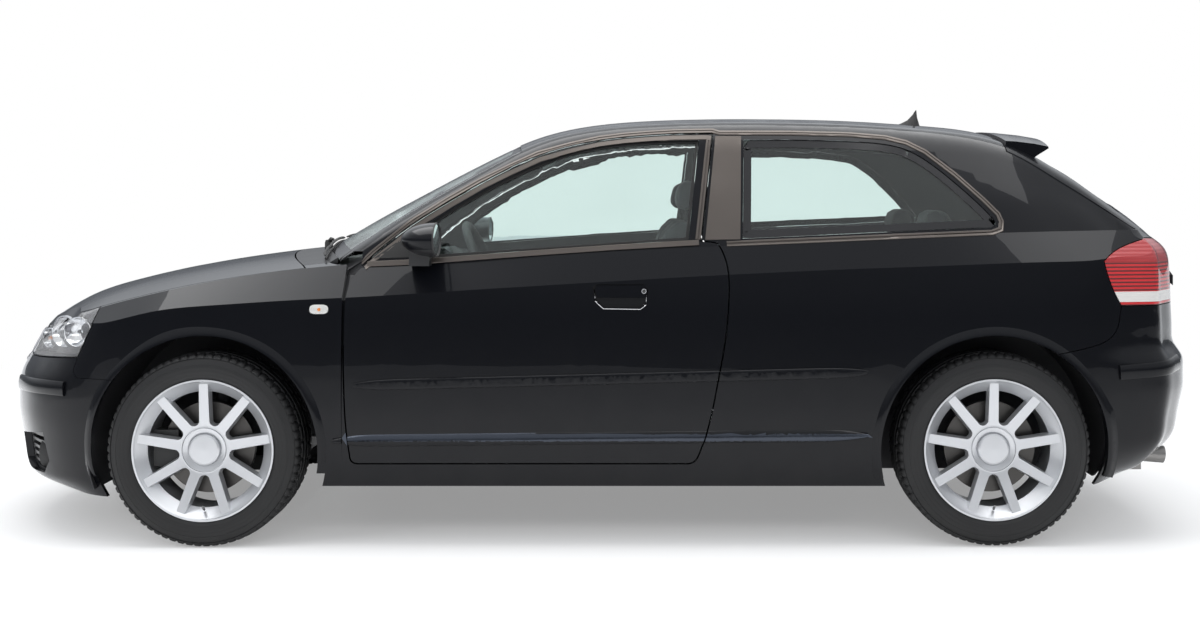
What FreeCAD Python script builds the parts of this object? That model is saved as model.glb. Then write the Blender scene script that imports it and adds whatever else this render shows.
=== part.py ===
import FreeCAD, Part
import math
import os
import Sketcher

# Three-door hatchback car. Millimetres. The front of the car faces -X, its left side -Y, up is +Z.
# The origin is on the ground, below the middle of the car's length.

Vector = FreeCAD.Vector
Rotation = FreeCAD.Rotation
Placement = FreeCAD.Placement

doc = FreeCAD.newDocument("hatchback_car")
sheet = doc.addObject("Spreadsheet::Sheet", "sizes")

SIZES = [
    ("overall_length", 4203),
    ("body_width", 1750),
    ("ground_to_roof", 1432),
    ("front_axle_x", -1238.5),
    ("rear_axle_x", 1339.5),
    ("front_track", 1534),
    ("rear_track", 1507),
    ("nose_bow", 0.000477),
    ("tail_bow", 0.000000000442),
    ("tyre_diameter", 632),
    ("tyre_width", 224),
    ("tyre_seat_diameter", 436),
    ("rim_diameter", 462),
    ("rim_width", 208),
    ("rim_barrel_wall", 6),
    ("spoke_count", 9),
    ("spoke_width", 44),
    ("spoke_thickness", 26),
    ("hub_radius", 78),
    ("cap_radius", 50),
    ("disc_radius", 150),
    ("disc_thickness", 22),
    ("arch_radius", 374),
    ("flare_width", 28),
    ("flare_proud", 9),
    ("panel_wall", 22),
    ("door_wall", 64),
    ("roof_wall", 34),
    ("shut_gap", 5),
    ("glass_thickness", 5),
    ("glass_inset", 4),
    ("seal_gap", 0.3),
    ("moving_gap", 6),
    ("swing_gap", 10),
    ("swing_depth", 9),
    ("sill_bottom", 195),
    ("sill_top", 270),
    ("door_front_x", -780),
    ("door_rear_x", 474),
    ("floor_height", 200),
    ("floor_wall", 14),
    ("boot_floor_height", 400),
    ("bulkhead_x", -880),
    ("bonnet_front_x", -1994),
    ("bonnet_rear_x", -905),
    ("shut_line_half_width", 735),
    ("seat_width", 500),
    ("seat_offset", 355),
    ("seat_height", 270),
    ("wheel_rim_radius", 185),
    ("wheel_rim_grip", 15),
    ("steering_lean", 25),
    ("column_radius", 24),
    ("kingpin_y", 680),
    ("mirror_width", 208),
    ("mirror_height", 112),
    ("mirror_depth", 112),
    ("exhaust_radius", 30),
    ("spindle_radius", 25),
    ("spindle_play", 0.05),
    ("engine_length", 520),
    ("engine_width", 620),
    ("engine_height", 440),
]
row = 1
for alias, number in SIZES:
    cell = "A%d" % row
    sheet.set(cell, str(number))
    sheet.setAlias(cell, alias)
    row = row + 1
doc.recompute()


def size(alias):
    return float(sheet.get(alias))


def through(points, x):
    """Smooth value at x of a curve through hand-chosen (x, value) points."""
    if x <= points[0][0]:
        return points[0][1]
    if x >= points[-1][0]:
        return points[-1][1]
    slopes = []
    for i in range(len(points) - 1):
        slopes.append((points[i + 1][1] - points[i][1]) / (points[i + 1][0] - points[i][0]))
    tangents = [slopes[0]]
    for i in range(1, len(slopes)):
        if slopes[i - 1] * slopes[i] <= 0:
            tangents.append(0.0)
        else:
            tangents.append(2 * slopes[i - 1] * slopes[i] / (slopes[i - 1] + slopes[i]))
    tangents.append(slopes[-1])
    for i in range(len(slopes)):
        if x <= points[i + 1][0]:
            step = points[i + 1][0] - points[i][0]
            f = (x - points[i][0]) / step
            a = points[i][1]
            b = points[i + 1][1]
            ta = tangents[i] * step
            tb = tangents[i + 1] * step
            return (a * (1 + 2 * f) * (1 - f) ** 2 + ta * f * (1 - f) ** 2
                    + b * f * f * (3 - 2 * f) - tb * f * f * (1 - f))


half_length = size("overall_length") / 2
half_width = size("body_width") / 2
front_x = size("front_axle_x")
rear_x = size("rear_axle_x")
wheel_z = size("tyre_diameter") / 2

# Plan view of the widest line: half of it, from the middle of the nose to the middle of the tail.
def nose_x(y):
    return -half_length + size("nose_bow") * y * y


def tail_x(y):
    return half_length - size("tail_bow") * y ** 4


def half_plan():
    pts = []
    for y in (0, 160, 320, 470, 600):
        pts.append((nose_x(y), -y))
    w = half_width
    pts += [(-1868, -688), (-1780, -765), (-1690, -815), (-1580, -(w - 26)), (-1420, -(w - 11)),
            (front_x, -(w - 4)), (-950, -w), (-500, -w), (0, -w), (500, -w), (950, -w),
            (rear_x, -(w - 4)), (1520, -(w - 12)), (1680, -(w - 26)), (1800, -(w - 45))]
    for y in (806, 760, 690, 590, 440, 290, 145, 0):
        pts.append((tail_x(y), -y))
    return pts


# How far the surface stands in from the widest line, by height, at the nose, along the side and at the tail.
NOSE_SETBACK = [(60, 300), (150, 138), (172, 82), (193, 46), (214, 28), (257, 20), (342, 8), (405, 0), (448, 0),
                (512, 5), (554, 21), (597, 46), (639, 68), (696, 107), (760, 168), (1150, 420)]
SIDE_SETBACK = [(60, 90), (195, 42), (260, 20), (340, 8), (450, 0), (560, 1), (640, 5), (720, 12), (800, 20),
                (884, 30), (1000, 44), (1150, 62)]
TAIL_SETBACK = [(60, 420), (184, 278), (220, 172), (262, 102), (303, 57), (344, 30), (385, 22), (447, 10),
                (509, 0), (591, 2), (612, 14), (653, 34), (770, 40), (840, 42), (916, 46), (959, 58), (985, 80),
                (1010, 112), (1080, 215), (1150, 320)]
LEVELS = [100, 150, 172, 193, 225, 270, 340, 405, 448, 512, 554, 597, 639, 696, 760, 830, 884, 930, 965, 990, 1015,
          1060, 1120]


def blend(x, start, end):
    f = min(1.0, max(0.0, (x - start) / (end - start)))
    return f * f * (3 - 2 * f)


def setback(x, z):
    side = through(SIDE_SETBACK, z)
    if x < 0:
        f = blend(x, -1560, -1900)
        return through(NOSE_SETBACK, z) * f + side * (1 - f)
    f = blend(x, 1600, 1960)
    return through(TAIL_SETBACK, z) * f + side * (1 - f)


def level_points(z, inset):
    """Plan outline of the left half at height z, from the nose to the tail, moved in by inset."""
    half = half_plan()
    left = []
    for i in range(len(half)):
        x, y = half[i]
        if i == 0:
            n = (1, 0)
        elif i == len(half) - 1:
            n = (-1, 0)
        else:
            tx = half[i + 1][0] - half[i - 1][0]
            ty = half[i + 1][1] - half[i - 1][1]
            length = math.hypot(tx, ty)
            n = (-ty / length, tx / length)
        d = setback(x, z) + inset
        left.append((x + n[0] * d, y + n[1] * d))
    return left


def side_y(x, z):
    """Half width of the body side at a place between the wheel arches' outer ends."""
    w = half_width
    plan = [(-1690, 815), (-1580, w - 26), (-1420, w - 11), (front_x, w - 4), (-950, w), (950, w),
            (rear_x, w - 4), (1520, w - 12), (1680, w - 26), (1800, w - 45)]
    return through(plan, x) - through(SIDE_SETBACK, z)


def spline_surface(rows):
    surface = Part.BSplineSurface()
    surface.interpolate(rows)
    return surface


def sides_solid(inset):
    """Closed solid inside the lower body's sides, nose and tail, with flat ends below and above."""
    rows = []
    for z in LEVELS:
        half = level_points(z, inset)
        before = [(x, -y) for x, y in half[3:0:-1]]
        after = [(x, -y) for x, y in half[-2:-5:-1]]
        rows.append([Vector(x, y, z) for x, y in before + half + after])
    surface = spline_surface(rows)
    knots = surface.getVKnots()
    surface.segment(0, 1, knots[3], knots[-4])
    left = surface.toShape()
    right = left.mirror(Vector(0, 0, 0), Vector(0, 1, 0))
    faces = [left, right]
    for z in (LEVELS[0], LEVELS[-1]):
        ends = []
        for edge in left.Edges + right.Edges:
            if abs(edge.BoundBox.ZMin - z) < 1 and abs(edge.BoundBox.ZMax - z) < 1:
                ends.append(edge)
        faces.append(Part.Face(Part.Wire(Part.sortEdges(ends)[0])))
    shell = Part.makeShell(faces)
    shell.sewShape()
    return Part.makeSolid(shell)


# Lines along the body in side view, as (x, z): the shoulder crease and the line above it, which is the bonnet's
# shut line at the front and the window belt behind it.
SHOULDER = [(-2100, 600), (-1850, 660), (-1700, 700), (-1585, 730), (-1422, 763), (-1258, 784), (-1094, 797), (-780, 812),
            (-144, 852), (183, 870), (471, 887), (707, 898), (1034, 912), (1526, 928), (2100, 938)]
BELT = [(-2100, 640), (-1850, 700), (-1668, 756), (-1618, 776), (-1452, 826), (-1285, 859), (-1118, 886), (-951, 903),
        (-741, 908), (-553, 914), (-147, 946), (378, 975), (645, 988), (1041, 1008), (1358, 1022), (2100, 1035)]
BELT_HALF_WIDTH = [(-2100, 700), (-1668, 742), (-1285, 735), (-951, 745), (-741, 775), (-147, 790), (645, 790),
                   (1041, 785), (1358, 765), (1700, 725), (2100, 650)]
STATIONS = [-2140, -1900, -1700, -1500, -1258, -1000, -760, -400, 0, 400, 800, 1200, 1500, 1750, 2140]


def above_strip(inset):
    """What lies above the sloping strip between shoulder and belt on the left side, to be cut away."""
    rows = []
    for x in STATIONS:
        zs = through(SHOULDER, x)
        zb = through(BELT, x)
        ys = -side_y(max(-1690, min(1800, x)), zs)
        yb = -through(BELT_HALF_WIDTH, x)
        dy = yb - ys
        dz = zb - zs
        length = math.hypot(dy, dz)
        ny = -dz / length
        nz = dy / length
        line = []
        for f in (-2.0, -0.7, 0.5, 1.7, 3.0):
            line.append(Vector(x, ys + dy * f - ny * inset, zs + dz * f - nz * inset))
        rows.append(line)
    face = spline_surface(rows).toShape()
    return face.extrude(Vector(0, -900, 900))


# Bonnet: the height along its middle line, its bow in plan and its crown.
BONNET_MIDDLE = [(-2250, 520), (-2080, 640), (-1994, 694), (-1900, 755), (-1815, 800), (-1630, 853), (-1445, 892), (-1260, 922),
                 (-1075, 946), (-900, 962), (-600, 975)]
BONNET_BOW = 0.0003
BONNET_CROWN = 0.00007


def bonnet_z(x, y):
    return through(BONNET_MIDDLE, x - BONNET_BOW * y * y) - BONNET_CROWN * y * y


def surface_block(height_at, x_values, y_values, top):
    """Solid between a height field and a flat top."""
    rows = []
    for x in x_values:
        line = []
        for y in y_values:
            line.append(Vector(x, y, height_at(x, y)))
        rows.append(line)
    surface = Part.BSplineSurface()
    surface.interpolate(rows)
    face = surface.toShape()
    block = face.extrude(Vector(0, 0, top))
    return block


def above_bonnet(inset):
    xs = [-2300, -2200, -2100, -2040, -1990, -1930, -1860, -1780, -1680, -1560, -1400, -1200, -1000, -850, -780]
    ys = [-950, -800, -640, -480, -320, -160, 0, 160, 320, 480, 640, 800, 950]
    return surface_block(lambda x, y: bonnet_z(x, y) - inset, xs, ys, 900)


def above_belt(inset):
    """What lies above the belt line, behind the bonnet."""
    xs = [-790, -600, -300, 0, 400, 800, 1200, 1600, 2000, 2200]
    ys = [-1200, -400, 400, 1200]
    return surface_block(lambda x, y: through(BELT, x) - inset, xs, ys, 900)


def lower_body(inset):
    shape = sides_solid(inset)
    left = above_strip(inset)
    right = left.mirror(Vector(0, 0, 0), Vector(0, 1, 0))
    deck = above_belt(inset)
    shape = shape.cut(above_bonnet(inset))
    shape = shape.cut(left)
    shape = shape.cut(right)
    return shape.cut(deck)


# Greenhouse cross-sections: place, half width and height at the belt, half width and height where the side
# meets the screens or the roof, and the height in the middle.
GREENHOUSE = [
    (-1160, 790, 500, 742, 690, 830),
    (-1060, 790, 600, 742, 765, 893),
    (-974, 790, 680, 742, 832, 951),
    (-823, 790, 790, 742, 925, 1043),
    (-700, 788, 885, 722, 1008, 1112),
    (-593, 788, 905, 703, 1080, 1168),
    (-464, 790, 922, 680, 1156, 1236),
    (-320, 791, 934, 650, 1238, 1308),
    (-191, 791, 944, 622, 1306, 1362),
    (-40, 791, 952, 606, 1352, 1400),
    (183, 790, 964, 598, 1378, 1424),
    (430, 790, 976, 594, 1388, 1432),
    (700, 789, 990, 588, 1388, 1432),
    (958, 786, 1004, 580, 1380, 1425),
    (1200, 776, 1014, 568, 1362, 1410),
    (1400, 760, 1022, 556, 1332, 1388),
    (1520, 745, 1026, 552, 1290, 1352),
    (1610, 733, 1020, 556, 1240, 1305),
    (1700, 725, 990, 570, 1180, 1258),
    (1790, 720, 930, 590, 1110, 1196),
    (1880, 705, 860, 605, 1040, 1134),
    (1970, 680, 760, 620, 960, 1032),
    (2030, 660, 650, 610, 850, 930),
]


BELT_STEP = 6


def greenhouse_section(station, inset):
    """Half of a cross-section as (y, z), from below the belt up over the corner to the middle."""
    x, yb, zb, ye, ze, zt = station
    yb = yb - BELT_STEP
    rise = ze - zb
    lean = yb - ye
    pts = []
    for drop in (60, 20):
        pts.append((-(yb + lean * drop / rise), zb - drop))
    for f in (0.15, 0.45, 0.72, 0.9):
        bulge = 10 * math.sin(math.pi * f) * min(1.0, rise / 300.0)
        pts.append((-(yb - lean * f) - bulge, zb + rise * f))
    crown = zt - ze
    for f in (0.93, 0.84, 0.7, 0.5, 0.25):
        pts.append((-ye * f, ze + crown * (1 - f ** 2.3)))
    pts.append((0, zt))
    moved = []
    for i in range(len(pts)):
        before = pts[max(0, i - 1)]
        after = pts[min(len(pts) - 1, i + 1)]
        ty = after[0] - before[0]
        tz = after[1] - before[1]
        length = math.hypot(ty, tz)
        n = (tz / length, -ty / length)
        if i == len(pts) - 1:
            n = (0, -1)
        moved.append((pts[i][0] + n[0] * inset, pts[i][1] + n[1] * inset))
    return moved


def closed_block(surface):
    """Solid below an arched surface: its two low edges are joined by a ruled face and its ends are flat."""
    arch = surface.toShape()
    low = []
    ends = []
    for edge in arch.Edges:
        if edge.BoundBox.XLength > edge.BoundBox.YLength:
            low.append(edge)
        else:
            ends.append(edge)
    base = Part.makeRuledSurface(low[0], low[1])
    faces = [arch, base]
    for edge in ends:
        first = edge.Vertexes[0].Point
        last = edge.Vertexes[-1].Point
        faces.append(Part.Face(Part.Wire([edge, Part.makeLine(first, last)])))
    shell = Part.makeShell(faces)
    shell.sewShape()
    return Part.makeSolid(shell)


def greenhouse_solid(inset):
    rows = []
    for station in GREENHOUSE:
        half = greenhouse_section(station, inset)
        x = station[0]
        row = [Vector(x, y, z) for y, z in half]
        row += [Vector(x, -y, z) for y, z in reversed(half[:-1])]
        rows.append(row)
    return closed_block(spline_surface(rows))


# Outlines are lists of strokes: two points make a straight stroke, more points a smooth one.
def stroke_edge(points):
    if len(points) == 2:
        return Part.makeLine(points[0], points[1])
    curve = Part.BSplineCurve()
    curve.interpolate(points)
    return curve.toShape()


def outline_face(strokes, place):
    """Flat face from strokes of pairs; place turns a pair into a point in space."""
    edges = []
    for stroke in strokes:
        edges.append(stroke_edge([place(a, b) for a, b in stroke]))
    return Part.Face(Part.Wire(edges))


def closed(points):
    """Straight-sided outline through the points."""
    strokes = []
    for i in range(len(points)):
        strokes.append([points[i], points[(i + 1) % len(points)]])
    return strokes


def unit_normal(p, q, turn):
    length = math.hypot(q[0] - p[0], q[1] - p[1])
    return ((q[1] - p[1]) / length * turn, -(q[0] - p[0]) / length * turn)


def grown(strokes, gap):
    """The outline with every stroke moved out by gap, or in where gap is negative."""
    if gap == 0:
        return strokes
    area = 0
    for stroke in strokes:
        for p, q in zip(stroke, stroke[1:]):
            area = area + p[0] * q[1] - q[0] * p[1]
    turn = 1 if area > 0 else -1
    result = []
    count = len(strokes)
    for i in range(count):
        stroke = strokes[i]
        before = strokes[i - 1]
        after = strokes[(i + 1) % count]
        line = []
        last = len(stroke) - 1
        for k in range(last + 1):
            if k == 0:
                n1 = unit_normal(before[-2], before[-1], turn)
                n2 = unit_normal(stroke[0], stroke[1], turn)
            elif k == last:
                n1 = unit_normal(stroke[-2], stroke[-1], turn)
                n2 = unit_normal(after[0], after[1], turn)
            else:
                n1 = unit_normal(stroke[k - 1], stroke[k], turn)
                n2 = unit_normal(stroke[k], stroke[k + 1], turn)
            mitre = gap / max(0.2, 1 + n1[0] * n2[0] + n1[1] * n2[1])
            line.append((stroke[k][0] + (n1[0] + n2[0]) * mitre, stroke[k][1] + (n1[1] + n2[1]) * mitre))
        result.append(line)
    return result


def side_prism(strokes, y_from, y_to, gap=0):
    face = outline_face(grown(strokes, gap), lambda x, z: Vector(x, y_from, z))
    return face.extrude(Vector(0, y_to - y_from, 0))


def plan_prism(strokes, z_from, z_to, gap=0):
    face = outline_face(grown(strokes, gap), lambda x, y: Vector(x, y, z_from))
    return face.extrude(Vector(0, 0, z_to - z_from))


def front_prism(strokes, x_from, x_to, gap=0):
    face = outline_face(grown(strokes, gap), lambda y, z: Vector(x_from, y, z))
    return face.extrude(Vector(x_to - x_from, 0, 0))


def box(x0, x1, y0, y1, z0, z1):
    return Part.makeBox(x1 - x0, y1 - y0, z1 - z0, Vector(x0, y0, z0))


def both(strokes):
    """Plan outline that is symmetric about the middle line, from strokes on one side, middle to middle."""
    right = []
    for stroke in reversed(strokes):
        right.append([(a, -b) for a, b in reversed(stroke)])
    return strokes + right


def both_front(strokes):
    """The same for an outline seen from the front, whose pairs are (y, z)."""
    right = []
    for stroke in reversed(strokes):
        right.append([(-a, b) for a, b in reversed(stroke)])
    return strokes + right


def mirrored(shape):
    return shape.mirror(Vector(0, 0, 0), Vector(0, 1, 0))


def largest(shape):
    return sorted(shape.Solids, key=lambda solid: solid.Volume)[-1]


def cylinder_y(x, z, radius, y0, y1):
    return Part.makeCylinder(radius, y1 - y0, Vector(x, y0, z), Vector(0, 1, 0))


pieces = {}


def keep(name, shape):
    solids = [solid for solid in shape.Solids if solid.Volume > 2000]
    if len(solids) == 1:
        shape = solids[0]
    else:
        shape = Part.makeCompound(solids)
    feature = doc.addObject("Part::Feature", name)
    feature.Label = name
    feature.Shape = shape
    pieces[name] = feature


gap = size("shut_gap") / 2
wall = size("panel_wall")
door_wall = size("door_wall")
roof_wall = size("roof_wall")
arch = size("arch_radius")

outer_low = lower_body(0)
outer_top = greenhouse_solid(0)
body_solid = outer_low.fuse(outer_top)
thin_void = lower_body(wall)
thin_shell = outer_low.cut(thin_void)
cabin_void = lower_body(door_wall).fuse(greenhouse_solid(roof_wall))
thick_shell = body_solid.cut(cabin_void)
left_half = box(-2300, 2300, -1200, 0, 0, 1600)
thin_left = thin_shell.common(left_half)
thick_left = thick_shell.common(box(-880, 2300, -1200, 0, 0, 1600))

# The door in side view.
DOOR = [
    [(-741, 908), (-766, 873), (-776, 840), (-780, 800), (-782, 693), (-778, 495), (-771, 374), (-762, 300)],
    [(-762, 300), (-756, 280), (-738, 272)],
    [(-738, 272), (335, 272)],
    [(335, 272), (356, 277), (370, 292)],
    [(370, 292), (401, 378), (437, 544), (464, 697), (473, 808), (473, 886), (463, 940), (438, 989)],
    [(438, 989), (386, 996)],
    [(386, 996), (431, 1357)],
    [(431, 1357), (385, 1357), (217, 1350), (46, 1332), (-160, 1280), (-351, 1188), (-460, 1124), (-575, 1050), (-700, 948),
     (-741, 908)],
]
DOOR_GLASS = [
    [(-560, 934), (-560, 1012)],
    [(-560, 1012), (-520, 1050), (-410, 1123), (-293, 1190), (-190, 1240), (-91, 1278), (46, 1312), (238, 1331),
     (384, 1334)],
    [(384, 1334), (344, 996)],
    [(344, 996), (100, 982), (-147, 965), (-400, 946), (-560, 934)],
]
QUARTER_GLASS = [
    [(523, 1003), (536, 1336)],
    [(536, 1336), (700, 1337), (901, 1332), (1024, 1322), (1082, 1308), (1141, 1278), (1234, 1203), (1319, 1120),
     (1362, 1072)],
    [(1362, 1072), (1368, 1050), (1350, 1038)],
    [(1350, 1038), (1041, 1026), (780, 1014), (523, 1003)],
]
LAMP = closed([(-2300, 592), (-1928, 592), (-1667, 612), (-1614, 722), (-1614, 830), (-2300, 830)])
WING_FRONT = [(-1614, 830), (-1614, 722), (-1667, 612), (-1682, 571), (-1668, 548), (-1524, 545), (-1524, 100)]
BUMPER_TOP = [(-2300, 592), (-1928, 592), (-1667, 612), (-1682, 571), (-1668, 548), (-1524, 545), (-1400, 545),
              (-1400, 60), (-2300, 60)]
TAIL_LAMP = [
    [(1768, 783), (1726, 872), (1711, 930)],
    [(1711, 930), (1755, 962), (1814, 986), (1878, 1004)],
    [(1878, 1004), (2300, 985)],
    [(2300, 985), (2300, 783)],
    [(2300, 783), (1768, 783)],
]
TAIL_LAMP_INNER = 545
REAR_BUMPER = [
    [(1340, 628), (1534, 628), (1655, 650), (1701, 664), (1731, 682), (1751, 709), (1762, 750), (1768, 783)],
    [(1768, 783), (2300, 783)],
    [(2300, 783), (2300, 60)],
    [(2300, 60), (1340, 60)],
    [(1340, 60), (1340, 628)],
]

# The bonnet in plan, from the middle of its front edge to the middle of its rear edge.
def bonnet_outline():
    front = [(nose_x(y) + 108, -y) for y in (0, 150, 300, 450)]
    corner = [(-1770, -610), (-1700, -690), (-1650, -728)]
    side = [(x, -through(BELT_HALF_WIDTH, x)) for x in (-1650, -1500, -1285, -1100, -932)]
    side[0] = (-1650, -728)
    rear = [(-1090 + 0.00029 * y * y, -y) for y in (700, 500, 250, 0)]
    rear = [side[-1]] + rear
    return both([front + corner, side, rear])


bonnet_zone = plan_prism(bonnet_outline(), 560, 1200)
bonnet_zone_cut = plan_prism(bonnet_outline(), 500, 1200, gap)
bonnet = thin_shell.common(plan_prism(bonnet_outline(), 560, 1200, -gap))
keep("bonnet", largest(bonnet))

# What closes the gap between the bonnet and the windscreen.
def scuttle_outline():
    front = [(-1090 + 0.00029 * y * y, -y) for y in (0, 250, 500, 690)]
    rear = [(-955 + 0.00026 * y * y, -y) for y in (690, 500, 250, 0)]
    return both([front, [front[-1], rear[0]], rear])


lowered = body_solid.copy()
lowered.translate(Vector(0, 0, -18))
scuttle = body_solid.common(plan_prism(scuttle_outline(), 700, 1100, -gap)).cut(lowered)
scuttle_hole = plan_prism(scuttle_outline(), 600, 1300, gap * 0.2)
keep("scuttle", largest(scuttle))

front_arch_left = cylinder_y(front_x, wheel_z, arch, -1200, -430)
rear_arch_left = cylinder_y(rear_x, wheel_z, arch, -1200, -540)


def arch_flare(x_axle):
    """Raised lip round a wheel arch on the left side, as a ring between two radii that follows the body side."""
    radii = [arch - 12, arch + 6, arch + 14, arch + size("flare_width"), arch + size("flare_width") + 10]
    proud = [size("flare_proud") - 2, size("flare_proud"), size("flare_proud") * 0.8, 0, -4]
    rows_out = []
    rows_in = []
    for radius, rise in zip(radii, proud):
        line_out = []
        line_in = []
        for k in range(19):
            angle = math.radians(-14 + 208 * k / 18.0)
            x = x_axle + radius * math.cos(angle)
            z = wheel_z + radius * math.sin(angle)
            y = side_y(x, z)
            line_out.append(Vector(x, -y - rise, z))
            line_in.append(Vector(x, -y + 14, z))
        rows_out.append(line_out)
        rows_in.append(line_in)
    outside = spline_surface(rows_out).toShape()
    inside = spline_surface(rows_in).toShape()
    faces = [outside, inside]
    for first, second in zip(outside.Edges, inside.Edges):
        faces.append(Part.makeRuledSurface(first, second))
    shell = Part.makeShell(faces)
    shell.sewShape()
    return Part.makeSolid(shell)


def side_moulding(path, proud_top, proud_middle, proud_foot):
    """Long moulding on the left side, along a path of (x, middle z, half height)."""
    across = [(-1.0, -3), (-0.75, proud_foot), (0.0, proud_middle), (0.75, proud_top), (1.0, -3)]
    rows_out = []
    rows_in = []
    for share, rise in across:
        line_out = []
        line_in = []
        for x, z, half in path:
            height = z + share * half
            line_out.append(Vector(x, -side_y(x, height) - rise, height))
            line_in.append(Vector(x, -side_y(x, height) + 12, height))
        rows_out.append(line_out)
        rows_in.append(line_in)
    outside = spline_surface(rows_out).toShape()
    inside = spline_surface(rows_in).toShape()
    faces = [outside, inside]
    for first, second in zip(outside.Edges, inside.Edges):
        faces.append(Part.makeRuledSurface(first, second))
    shell = Part.makeShell(faces)
    shell.sewShape()
    return Part.makeSolid(shell)


def along(x0, z0, x1, z1, half, count=11):
    """Straight path for a moulding whose ends taper."""
    path = []
    for k in range(count):
        share = k / (count - 1.0)
        end = 0.35 if k in (0, count - 1) else 1.0
        path.append((x0 + (x1 - x0) * share, z0 + (z1 - z0) * share, half * end))
    return path


rub_strip = side_moulding(along(-750, 529, 924, 572, 18), 6, 6, 6)
sill_strip = side_moulding(along(-815, 350, 924, 368, 20), 3, 11, 11)
front_flare = arch_flare(front_x)
rear_flare = arch_flare(rear_x)

# Front wing, lamp and bumper.
wing_zone = side_prism(closed(WING_FRONT + [(-1000, 100), (-870, 275), (-787, 275), (-790, 1100), (-1614, 1100)]), -1200, 0)
wing = thin_left.common(wing_zone)
wing = wing.cut(bonnet_zone_cut)
wing = wing.fuse(front_flare.common(wing_zone))
wing = wing.cut(front_arch_left)
wing = wing.cut(side_prism(DOOR, -1200, 0, gap * 2))
wing = wing.cut(outer_top).cut(scuttle_hole)
wing = wing.fuse(sill_strip.common(wing_zone).cut(side_prism(DOOR, -1200, 0, gap * 2)))
wing = largest(wing)
keep("front_wing_left", wing)
keep("front_wing_right", mirrored(wing))

behind_lamps = lower_body(60)
lamp_shell = outer_low.cut(behind_lamps).common(left_half)
lamp = lamp_shell.common(side_prism(LAMP, -1200, -395, -gap))
lamp = largest(lamp.cut(bonnet_zone_cut))
keep("headlamps", Part.makeCompound([lamp, mirrored(lamp)]))

bumper_zone = side_prism(closed(BUMPER_TOP), -1200, 1200, -gap * 0.6)
centre_zone = box(-2300, -1700, -395, 395, 560, 760)
bumper = thin_shell.common(bumper_zone)
bumper_nose = thin_shell.common(centre_zone).cut(bonnet_zone_cut)
bumper = bumper.fuse(bumper_nose)
for flare, hole in ((front_flare, front_arch_left), (mirrored(front_flare), mirrored(front_arch_left))):
    bumper = bumper.fuse(flare.common(bumper_zone))
    bumper = bumper.cut(hole)
bumper = bumper.cut(box(-2300, 0, -1200, 1200, 0, 152))
GRILLE = closed([(-330, 662), (-372, 590), (-350, 560), (350, 560), (372, 590), (330, 662)])
INTAKE = closed([(-400, 300), (-440, 250), (-400, 200), (400, 200), (440, 250), (400, 300)])
FOG = closed([(-520, 240), (-560, 210), (-700, 215), (-735, 260), (-735, 355), (-540, 330)])
bumper = bumper.cut(front_prism(GRILLE, -2300, -1900))
bumper = bumper.cut(front_prism(INTAKE, -2300, -1900))
fog_hole = front_prism(FOG, -2300, -1700)
bumper = bumper.cut(fog_hole).cut(mirrored(fog_hole))
keep("front_bumper", largest(bumper))

# Grille and intake with bars, and the fog lamp grilles, behind the bumper's skin.
behind_skin = lower_body(wall + 2)
grille_shell = behind_skin.cut(lower_body(wall + 26))


def barred(strokes, bar_from, bar_to, count, x_to, half_bar=5):
    frame = grille_shell.common(front_prism(strokes, -2300, x_to, 10))
    hole = front_prism(strokes, -2300, x_to, -6)
    bars = []
    for k in range(count):
        z = bar_from + (bar_to - bar_from) * (k + 0.5) / count
        bars.append(box(-2300, x_to, -900, 900, z - half_bar, z + half_bar))
    return frame.cut(hole.cut(Part.makeCompound(bars)))


grille = barred(GRILLE, 566, 660, 5, -1900)
keep("grille", grille)
intake = barred(INTAKE, 200, 300, 4, -1900)
fog = barred(FOG, 206, 350, 6, -1700)
keep("bumper_grilles", Part.makeCompound(intake.Solids + fog.Solids + mirrored(fog).Solids))

# Body side: sill, hinge pillar, roof rail, centre pillar and rear quarter in one.
ROOF_HALF = 545
door_hole = side_prism(DOOR, -1200, 0, gap)
door_blank = side_prism(DOOR, -1200, 0, -gap)
hinge_zone = closed([(-900, 275), (-787, 275), (-784, 690), (-778, 800), (-764, 873), (-741, 912), (-741, 960),
                     (-900, 960)])
lamp_zone = side_prism(TAIL_LAMP, -1200, -TAIL_LAMP_INNER)
lamp_hole = side_prism(TAIL_LAMP, -1200, -TAIL_LAMP_INNER + gap, gap * 0.6)
rear_bumper_hole = side_prism(REAR_BUMPER, -1200, 1200, gap * 0.6)
TAILGATE = [
    [(0, 1600), (-532, 1600)],
    [(-532, 1600), (-532, 1395)],
    [(-532, 1395), (-565, 1300), (-595, 1180), (-610, 1060), (-604, 1010)],
    [(-604, 1010), (-575, 990), (-545, 960)],
    [(-545, 960), (-545, 660)],
    [(-545, 660), (0, 660)],
]
TAILGATE_FRONT = 1448
tailgate_hole = front_prism(both_front(TAILGATE), TAILGATE_FRONT - gap, 2300, gap)
tailgate_zone = front_prism(both_front(TAILGATE), TAILGATE_FRONT + gap, 2300, -gap)


def screen_outline():
    base = [(-955 + 0.00026 * y * y, -y) for y in (0, 250, 500, 715)]
    pillar = [(base[-1][0], -715), (-690, -692), (-593, -672), (-464, -646), (-330, -618), (-222, -596)]
    head = [(-222, -596), (-245, -400), (-256, -200), (-258, 0)]
    return both([base, pillar, head])


def rear_screen_outline():
    head = [(1600, 0), (1590, -280), (1560, -500)]
    flank = [(1560, -500), (1660, -525), (1760, -545), (1840, -555)]
    foot = [(1840, -555), (1862, -400), (1880, -200), (1886, 0)]
    return both([head, flank, foot])


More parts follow.
